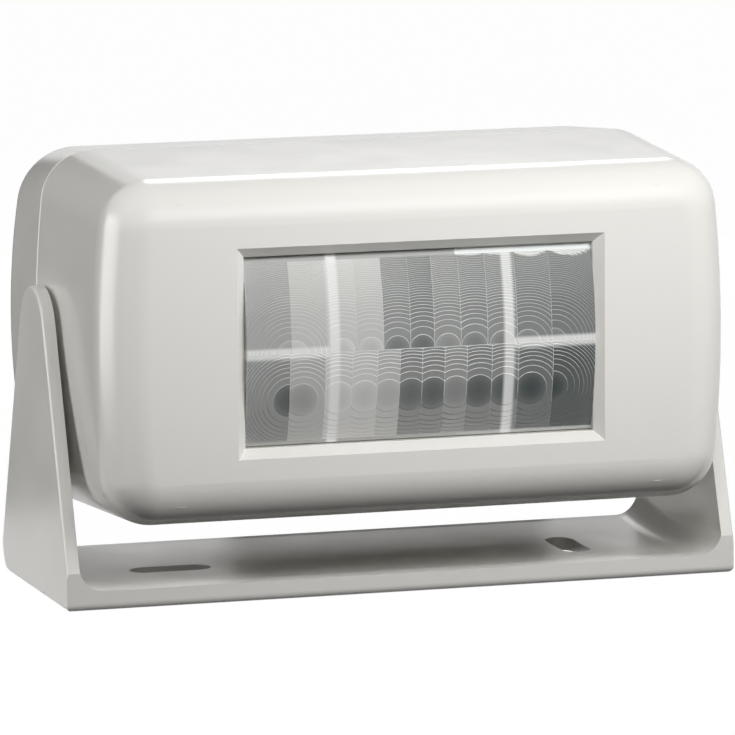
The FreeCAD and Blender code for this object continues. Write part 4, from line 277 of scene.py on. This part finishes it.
def painted_rib_glow(tree):
    """1 where a rib of the lens frame stands close behind the lens, with a soft edge: there the lens
    is painted pale, for the light off the rib seen through it.
    """
    place = add(tree, "ShaderNodeTexCoord")
    split = add(tree, "ShaderNodeSeparateXYZ", links={0: place.outputs["Object"]})
    across = add(tree, "ShaderNodeMath", operation="ABSOLUTE", links={0: split.outputs["X"]})
    bands = []
    for source, middle in ((across.outputs[0], RIB_X), (split.outputs["Z"], RIB_Z)):
        away = add(tree, "ShaderNodeMath", {1: middle * MM}, {0: source}, operation="SUBTRACT")
        far = add(tree, "ShaderNodeMath", operation="ABSOLUTE", links={0: away.outputs[0]})
        bands.append(add(tree, "ShaderNodeMapRange",
                         {"From Min": (RIB_WIDE / 2 - RIB_BLUR[0]) * MM,
                          "From Max": (RIB_WIDE / 2 + RIB_BLUR[1]) * MM,
                          "To Min": 1.0, "To Max": 0.0}, {"Value": far.outputs[0]},
                         interpolation_type="SMOOTHSTEP"))
    outer = add(tree, "ShaderNodeMath", {1: RIB_X * MM}, {0: across.outputs[0]}, operation="GREATER_THAN")
    level = add(tree, "ShaderNodeMath", operation="MULTIPLY",
                links={0: bands[1].outputs[0], 1: outer.outputs[0]})
    return add(tree, "ShaderNodeMath", operation="MAXIMUM",
               links={0: bands[0].outputs[0], 1: level.outputs[0]})


def lens_plastic(name, ridged, roughness):
    """Milky polyethylene, with light and shade painted into its colour. Each lenslet's tone is kept on
    the mesh: a low tone is painted shade of the dark inside seen through clearer plastic, and a high
    one is the plastic's milky haze. Pale bars are painted where the white ribs stand close behind it,
    and the ridges between the zones catch the light, with painted highlights added."""
    material, tree = empty_material(name)
    milk = add(tree, "ShaderNodeAttribute", attribute_name="milk")
    ribs = painted_rib_glow(tree)
    # Painted tone: its dark end is painted shade of the dark inside seen through the lens.
    base = add(tree, "ShaderNodeMix", {"A": linear("#3B4647"), "B": linear("#E5E4E1")},
               {"Factor": milk.outputs["Fac"]}, data_type="RGBA")
    shade = base.outputs["Result"]
    # Painted highlights on the ridges.
    if ridged:
        ridge = add(tree, "ShaderNodeAttribute", attribute_name="ridge")
        shade = add(tree, "ShaderNodeMix", {"B": linear("#F4F8F7")},
                    {"Factor": ridge.outputs["Fac"], "A": shade}, data_type="RGBA").outputs["Result"]
    # Painted pale bars where the ribs stand behind.
    tint = add(tree, "ShaderNodeMix", {"B": linear("#F6F7F5")},
               {"Factor": ribs.outputs[0], "A": shade}, data_type="RGBA")
    alpha = add(tree, "ShaderNodeMapRange", {"To Min": LENS_COVER[0], "To Max": LENS_COVER[1]},
                {"Value": milk.outputs["Fac"]})
    bsdf = add(tree, "ShaderNodeBsdfPrincipled", {"IOR": 1.52, "Roughness": roughness},
               {"Base Color": tint.outputs["Result"], "Alpha": alpha.outputs[0]})
    add(tree, "ShaderNodeOutputMaterial", links={"Surface": bsdf.outputs[0]})
    return material


# ABS off a polished tool, the two covers: a warm white with soft but clear highlights.
WHITE_ABS = moulded_plastic("polished_white_abs", "#F1EFEA", 0.23)
# The same plastic off the door's tool: its highlights are a touch sharper.
DOOR_ABS = moulded_plastic("moulded_white_abs_door", "#F1EFEA", 0.22)
# The same plastic off the stand's duller tool: its highlights are wide and faint.
STAND_ABS = moulded_plastic("moulded_white_abs_stand", "#F1EFEA", 0.34)
# ABS off a plain tool, the lens frame: a flat white behind the lens.
SATIN_ABS = moulded_plastic("satin_white_abs", "#F3F2EE", 0.42)
# Thin moulded polyethylene: milky, with smooth zones that mirror a little, and a painted tone that
# holds painted shade of the dark inside.
LENS_PE = lens_plastic("moulded_milky_polyethylene", False, 0.28)
# The ridges between the zones: duller, and they catch the light, with painted highlights added.
LENS_RIDGE_PE = lens_plastic("moulded_milky_polyethylene_ridge", True, 0.35)
# Zinc plate over steel wire: light grey with a fine dull grain.
SCREW_ZINC = metal("zinc_plated_steel", "#B9BCC0", 0.32, 0.6)
# Green mask poured over glass epoxy: dark, glossy, and a little wavy over the tracks.
FR4_GREEN = moulded_plastic("masked_green_fr4", "#1E4A38", 0.3, waviness=0.02, wave_mm=2.0)
# Moulded nylon: near black and half matt.
BLACK_SPACER = moulded_plastic("moulded_black_nylon", "#1B1C1D", 0.5)
# Drawn can, nickel plated: a warm grey mirror with a soft grain.
SENSOR_CAN = metal("nickel_plated_can", "#B4B3AD", 0.22, 1.2)
# Epoxy moulded round the chip: dark and matt.
CHIP_BLACK = moulded_plastic("moulded_black_epoxy", "#202022", 0.55)
# Sleeve of PVC, shrunk over the can: dark blue and half glossy.
SLEEVE = moulded_plastic("shrunk_blue_pvc", "#24303F", 0.35)
# Dipped lacquer: plain tan and half glossy.
RESISTOR = moulded_plastic("dipped_tan_lacquer", "#C8A97A", 0.4)
# Pressed sheet steel: mid grey with a soft grain.
SPEAKER_STEEL = metal("pressed_sheet_steel", "#8F9294", 0.38, 1.0)
# Sintered ferrite: dark grey and matt.
FERRITE = moulded_plastic("sintered_grey_ferrite", "#3A3B3D", 0.6)
# Dyed and pressed paper pulp: black with hardly any shine.
CONE_PAPER = moulded_plastic("pressed_black_paper", "#232322", 0.85)
# Film shrunk round a cell: dark grey and glossy.
CELL_JACKET = moulded_plastic("shrunk_grey_film", "#3B3F45", 0.3)
# Rolled strip, nickel plated: a warm pale metal with level streaks from the rolls.
NICKEL = metal("rolled_nickel_strip", "#BDB8AC", 0.28, 0.8, (1, 1, 6))
# Moulded polyester: near black and half matt.
SWITCH_BLACK = moulded_plastic("moulded_black_pbt", "#19191B", 0.45)

SLOT_FINISH = {
    "white_abs": WHITE_ABS, "door_abs": DOOR_ABS, "frame_abs": SATIN_ABS, "lens_pe": LENS_PE,
    "screw_steel": SCREW_ZINC, "board_fr4": FR4_GREEN, "spacer_black": BLACK_SPACER,
    "sensor_can": SENSOR_CAN, "chip_black": CHIP_BLACK, "capacitor_sleeve": SLEEVE,
    "resistor_body": RESISTOR, "speaker_steel": SPEAKER_STEEL, "ferrite": FERRITE,
    "cone_paper": CONE_PAPER, "cell_jacket": CELL_JACKET, "contact_nickel": NICKEL,
    "switch_black": SWITCH_BLACK,
}


def finish_cad_nodes():
    """Every CAD node gets the finish of the material slot that the record gives it, except the
    stand, which is off a duller tool than the housing."""
    for part in frame["record"]["subparts"]:
        node = frame["nodes"][part["node"]]
        node.data.materials.clear()
        finish = STAND_ABS if part["node"] == "stand_bracket" else SLOT_FINISH[part["material_slot"]]
        node.data.materials.append(finish)


# Fresnel lens

# The CAD lens: a sheet bowed forward between its flat flanges.
LENS_MIDDLE = 42.95        # height of the lens's middle
BOW_RADIUS = 44.857
BOW_CENTRE = 12.257        # Y of the arc's centre
LENS_REACH_X = 29.92       # up to the window's sides, so that no dark gap shows
LENS_REACH_Z = 15.6
FLANGE_FRONT = -29.2       # front of the flat flanges above and below the bow
CHEEK_DEEP = 2.6           # most that an end wall of the bow reaches back
FIELD_SPLIT = 42.6         # line between the two rows of lenslets, and the upper row's ring centres
FIELD_TOP = 57.5
FIELD_LOW = 27.9
LOWER_CENTRES = 34.9       # height of the lower row's ring centres
UPPER_DISC = 5.0           # square of the middle disc's radius
LOWER_DISC = 7.56
ZONE_AREA = 7.66           # every ring adds this much to the square of the radius
RING_SIDES = 144
SHARP_EDGE = math.radians(50)

# Relief of the lenslets.
GROOVE_DEEP = 0.13         # where the ridge is brightest
DULL_GROOVE = 0.2          # share of that depth where the ridge catches no light
DISC_BEND = (0.55, 0.7)    # where the middle disc bends, as shares of its radius and depth
RIDGE_WIDE = 0.07
RIDGE_SHARE = 0.3          # most that a ridge takes of a narrow zone
SEAM_WIDE = 0.045          # raised line along each lenslet's border
SEAM_SUNK = 0.02           # that line, behind the lens's front
MARGIN_SUNK = 0.04         # smooth strips above and below the lenslets, behind the lens's front
MARGIN_STEPS = 4
CHEEK_STEPS = 16

# How pale the lens is painted and how bright its ridges' painted highlights are, from 0 to 1. A low
# tone is painted shade of the dark inside seen through clear plastic, and a high one the milky haze.
# Each disc is painted darkest in its middle, a painted shade of the dark inside seen through it.
DISC_RIM_LIFT = 0.16       # added from a disc's middle to its rim
HIGH_FROM = 6              # height above the rings' centre from which the zones turn paler
HIGH_LIFT = 0.014          # added for each millimetre above that
FAR_FADE = 0.055           # lost by the ridges for each millimetre out from the disc
FAR_LEAST = 0.35           # least share of their brightness that they keep
UNDER_SLOPE = 0.3          # ridges further below the rings' centre than this slope are dim
UNDER_SHARE = 0.4          # share of their brightness that those keep
PLAIN_MILK = 0.6           # smooth margins
CHEEK_MILK = 0.7
CHEEK_RIDGE = 0.5

# A painted reflection: the smooth top margin is painted white right of one place, for the lamps
# that it mirrors, and this painted glare hangs in waves into the last lenslets below it.
GLARE_FROM = 6.3
GLARE_EDGE = 0.1
GLARE_HANG = (0.25, 0.35, 0.8, 0.95)

# Columns of each row from the left: width, where the rings' centre is across the column (0 to 1),
# the lenslet's painted tone, its middle disc's painted tone, and how bright its ridges' painted
# highlights are, which also sets how deep its grooves are.
UPPER_ROW = [(7.7, 0.96, 0.55, 0.5, 0.45), (6.0, 0.10, 0.76, 0.76, 0.1), (5.1, 0.5, 0.82, 0.8, 0.1),
             (4.6, 0.5, 0.77, 0.72, 0.15), (4.6, 0.5, 0.42, 0.22, 0.8), (4.1, 0.5, 0.34, 0.16, 0.9),
             (4.6, 0.5, 0.44, 0.36, 0.8), (4.6, 0.5, 0.38, 0.26, 0.9), (5.1, 0.5, 0.38, 0.28, 0.8),
             (6.0, 0.3, 0.3, 0.25, 0.65), (7.7, 0.04, 0.24, 0.2, 0.6)]
LOWER_ROW = [(7.5, 1.0, 0.46, 0.14, 0.5), (6.0, 0.35, 0.72, 0.5, 0.3), (4.6, 0.5, 0.92, 0.84, 0.25),
             (4.3, 0.5, 0.9, 0.8, 0.25), (3.85, 0.5, 0.78, 0.66, 0.45), (3.85, 0.5, 0.44, 0.2, 0.8),
             (3.85, 0.5, 0.44, 0.16, 0.8), (3.85, 0.5, 0.52, 0.36, 0.75), (4.3, 0.5, 0.4, 0.12, 0.8),
             (4.6, 0.5, 0.4, 0.12, 0.75), (6.0, 0.38, 0.27, 0.06, 0.75), (7.5, 0.0, 0.16, 0.04, 0.7)]


def bow_front(z):
    """Place of the bowed sheet's front face at a height."""
    return BOW_CENTRE - math.sqrt(BOW_RADIUS ** 2 - (z - LENS_MIDDLE) ** 2)


def ring_radii(disc_square, reach):
    """Radii between the zones, out to a reach: the zones are equal in area."""
    radii = [math.sqrt(disc_square)]
    while radii[-1] < reach:
        radii.append(math.sqrt(radii[-1] ** 2 + ZONE_AREA))
    return radii


def ring_steps(radii, deep):
    """Radius and depth along one lenslet's section: each zone climbs outward, then drops at its ring."""
    steps = [(0.0, deep), (radii[0] * DISC_BEND[0], deep * DISC_BEND[1])]
    for ring in radii:
        zone_wide = ZONE_AREA / (2 * ring)
        wide = min(RIDGE_WIDE, RIDGE_SHARE * zone_wide)
        steps.append((ring - wide, 0.0))
        steps.append((ring, deep))
    return steps


def ring_faces(form, rings, cell):
    """Faces between neighbouring rings that touch the cell. Every second band is a ridge."""
    left, right, low, high = cell
    for band in range(len(rings) - 1):
        ridge = band % 2 == 1
        for k in range(RING_SIDES):
            a, b = rings[band][k], rings[band][(k + 1) % RING_SIDES]
            c, d = rings[band + 1][(k + 1) % RING_SIDES], rings[band + 1][k]
            xs, zs = [v.co.x for v in (a, b, c, d)], [v.co.y for v in (a, b, c, d)]
            if max(xs) < left or min(xs) > right or max(zs) < low or min(zs) > high:
                continue
            form.faces.new((a, d, c, b)).material_index = 1 if ridge else 0


def cut_lenslet(cell, centre, disc_square, groove):
    """Rings about a centre, cut to the lenslet's own rectangle less the raised line along its
    border. Y of the mesh holds the height and Z the depth."""
    left, right, low, high = inner = (cell[0] + SEAM_WIDE, cell[1] - SEAM_WIDE,
                                      cell[2] + SEAM_WIDE, cell[3] - SEAM_WIDE)
    far = max(math.hypot(x - centre[0], z - centre[1]) for x in (left, right) for z in (low, high))
    hub_step, *steps = ring_steps(ring_radii(disc_square, far), groove)
    form = bmesh.new()
    rings = []
    for radius, deep in steps:
        rings.append([form.verts.new((centre[0] + radius * math.cos(2 * math.pi * k / RING_SIDES),
                                      centre[1] + radius * math.sin(2 * math.pi * k / RING_SIDES), deep))
                      for k in range(RING_SIDES)])
    hub = form.verts.new((centre[0], centre[1], hub_step[1]))
    for k in range(RING_SIDES):
        form.faces.new((hub, rings[0][k], rings[0][(k + 1) % RING_SIDES]))
    ring_faces(form, rings, inner)
    for point, outward in (((left, 0, 0), (-1, 0, 0)), ((right, 0, 0), (1, 0, 0)),
                           ((0, low, 0), (0, -1, 0)), ((0, high, 0), (0, 1, 0))):
        everything = form.verts[:] + form.edges[:] + form.faces[:]
        bmesh.ops.bisect_plane(form, geom=everything, plane_co=point, plane_no=outward, clear_outer=True)
    loose = [v for v in form.verts if not v.link_faces]
    bmesh.ops.delete(form, geom=loose, context="VERTS")
    return form


def add_seam(form, cell):
    """Raised line from a lenslet's cut border out to its cell, where the next one's starts."""
    left, right, low, high = cell
    near = 1.5 * SEAM_WIDE
    border = [e for e in form.edges if len(e.link_faces) == 1]
    made = bmesh.ops.extrude_edge_only(form, edges=border)["geom"]
    for v in made:
        if isinstance(v, bmesh.types.BMVert):
            if v.co.x < left + near:
                v.co.x = left
            elif v.co.x > right - near:
                v.co.x = right
            if v.co.y < low + near:
                v.co.y = low
            elif v.co.y > high - near:
                v.co.y = high
            v.co.z = SEAM_SUNK
    for f in made:
        if isinstance(f, bmesh.types.BMFace):
            f.material_index = 1


def milk_at(away, height, radius, haze, disc):
    """A disc is painted darkest in its middle, a painted shade of the dark inside seen through it, and
    the upper zones turn paler toward the lens's top.
    """
    if away < radius - 0.5 * RIDGE_WIDE:
        return disc + DISC_RIM_LIFT * (away / radius) ** 2
    return haze + HIGH_LIFT * max(0, height - HIGH_FROM)


def painted_ridge_highlight_at(away, height, radius, bright, upper):
    """Painted highlight on the ridges, added to the light that they catch: bright above a disc and dim
    below it. In the upper row it also fades outward, where the zones get narrow."""
    fade = max(FAR_LEAST, 1 - FAR_FADE * max(0, away - radius)) if upper else 1.0
    if height < -UNDER_SLOPE * away:
        fade *= UNDER_SHARE
    return bright * fade


class LensFace:
    """The lens's mesh while it is gathered: points in metres, faces and their finish, and for each
    point its painted tone and how bright a ridge's painted highlight is there."""

    def __init__(self):
        self.points, self.faces, self.finishes = [], [], []
        self.milk, self.ridge = [], []

    def take(self, form, milk, ridge):
        """Takes a form of millimetres across, up and behind the lens's front, and bows it."""
        base = len(self.points)
        form.verts.index_update()
        for v in form.verts:
            x, z, deep = v.co
            self.points.append((x * MM, (bow_front(z) + deep) * MM, z * MM))
            self.milk.append(milk(x, z))
            self.ridge.append(ridge(x, z))
        for f in form.faces:
            self.faces.append([base + v.index for v in f.verts])
            self.finishes.append(f.material_index)
        form.free()


def add_lenslet(face, cell, level, disc_square, looks, hang):
    """One lenslet with its rings, its seam and its share of the painted glare, which hangs in a wave.
    The outermost cells reach past the lens's sides and are cut there."""
    width, across, haze, disc, bright = looks
    left, right, low, high = cell
    centre = (left + width * across, level)
    radius = math.sqrt(disc_square)
    upper = level == FIELD_SPLIT
    shown = (max(left, -LENS_REACH_X), min(right, LENS_REACH_X), low, high)

    # Painted reflection: points in the glare are painted white.
    def in_glare(x, z):
        return hang and z > FIELD_TOP - hang * math.sin(math.pi * (x - left) / width)

    def away(x, z):
        return math.hypot(x - centre[0], z - centre[1])

    # Painted tone at a point: painted shade where it is dark, and painted glare where it is white.
    def milk(x, z):
        return 1.0 if in_glare(x, z) else milk_at(away(x, z), z - level, radius, haze, disc)

    # Painted highlight of the ridges, white in the painted glare.
    def ridge(x, z):
        return 1.0 if in_glare(x, z) else painted_ridge_highlight_at(away(x, z), z - level, radius, bright, upper)

    form = cut_lenslet(shown, centre, disc_square,
                       GROOVE_DEEP * (DULL_GROOVE + (1 - DULL_GROOVE) * bright))
    add_seam(form, shown)
    face.take(form, milk, ridge)


def add_row(face, row, low, high, level, disc_square, hangs):
    """Lenslets side by side, the row centred on the lens, with painted glare hanging into the last ones."""
    edge = -sum(looks[0] for looks in row) / 2
    plain = (0,) * (len(row) - len(hangs))
    for looks, hang in zip(row, plain + hangs):
        add_lenslet(face, (edge, edge + looks[0], low, high), level, disc_square, looks, hang)
        edge += looks[0]


def add_quads(form, rows):
    """Faces between neighbouring rows of points."""
    return [form.faces.new((here[j], here[j + 1], above[j + 1], above[j]))
            for here, above in zip(rows, rows[1:]) for j in range(len(here) - 1)]


def add_margin(face, low, high, glare):
    """Smooth strip below or above the lenslets. Glare is the painted tone of its right part, and 1
    paints it white, a painted reflection."""
    form = bmesh.new()
    places = (-LENS_REACH_X, GLARE_FROM - GLARE_EDGE, GLARE_FROM + GLARE_EDGE, LENS_REACH_X)
    rows = [[form.verts.new((x, low + (high - low) * k / MARGIN_STEPS, MARGIN_SUNK)) for x in places]
            for k in range(MARGIN_STEPS + 1)]
    quads = add_quads(form, rows)
    strips = len(places) - 1
    for quad in quads[strips - 1::strips]:
        quad.material_index = 1
    face.take(form, lambda x, z: glare if x > GLARE_FROM else PLAIN_MILK, lambda x, z: 2 * glare - 1)


def add_cheek(face, side):
    """End wall from the bowed sheet back to the level of the flanges."""
    form = bmesh.new()
    rows = []
    for k in range(CHEEK_STEPS + 1):
        z = LENS_MIDDLE - LENS_REACH_Z + 2 * LENS_REACH_Z * k / CHEEK_STEPS
        back = min(CHEEK_DEEP, FLANGE_FRONT - bow_front(z))
        rows.append([form.verts.new((side * LENS_REACH_X, z, deep)) for deep in (SEAM_SUNK, back)])
    add_quads(form, rows)
    face.take(form, lambda x, z: CHEEK_MILK, lambda x, z: CHEEK_RIDGE)


def shade_sharp_and_smooth(mesh):
    """Zones shade smooth, and every step between two finishes or at a steep edge stays sharp."""
    form = bmesh.new()
    form.from_mesh(mesh)
    bmesh.ops.recalc_face_normals(form, faces=form.faces)
    for f in form.faces:
        f.smooth = True
    for e in form.edges:
        finishes = {f.material_index for f in e.link_faces}
        if len(finishes) > 1 or e.calc_face_angle(0) > SHARP_EDGE:
            e.smooth = False
    form.to_mesh(mesh)
    form.free()


def build_lens_face():
    """Whole face of the lens: two rows of lenslets, the plain margins below and above them, and
    the two end walls that close the bow."""
    face = LensFace()
    add_row(face, UPPER_ROW, FIELD_SPLIT, FIELD_TOP, FIELD_SPLIT, UPPER_DISC, GLARE_HANG)
    add_row(face, LOWER_ROW, FIELD_LOW, FIELD_SPLIT, LOWER_CENTRES, LOWER_DISC, ())
    add_margin(face, LENS_MIDDLE - LENS_REACH_Z, FIELD_LOW, PLAIN_MILK)
    add_margin(face, FIELD_TOP, LENS_MIDDLE + LENS_REACH_Z, 1.0)
    for side in (-1, 1):
        add_cheek(face, side)
    mesh = bpy.data.meshes.new("fresnel_zones")
    mesh.from_pydata(face.points, [], face.faces)
    mesh.materials.append(LENS_PE)
    mesh.materials.append(LENS_RIDGE_PE)
    mesh.polygons.foreach_set("material_index", face.finishes)
    for name, values in (("milk", face.milk), ("ridge", face.ridge)):
        mesh.attributes.new(name, "FLOAT", "POINT").data.foreach_set("value", values)
    shade_sharp_and_smooth(mesh)
    lens = bpy.data.objects.new("fresnel_zones", mesh)
    bpy.context.scene.collection.objects.link(lens)
    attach(lens, "head")
    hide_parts("fresnel_lens")


# Put together

bpy.context.scene.view_settings.view_transform = "Standard"
place_camera()
lay_table()
light_world()
hang_lamps()
place_dark_cards()
finish_cad_nodes()
build_lens_face()
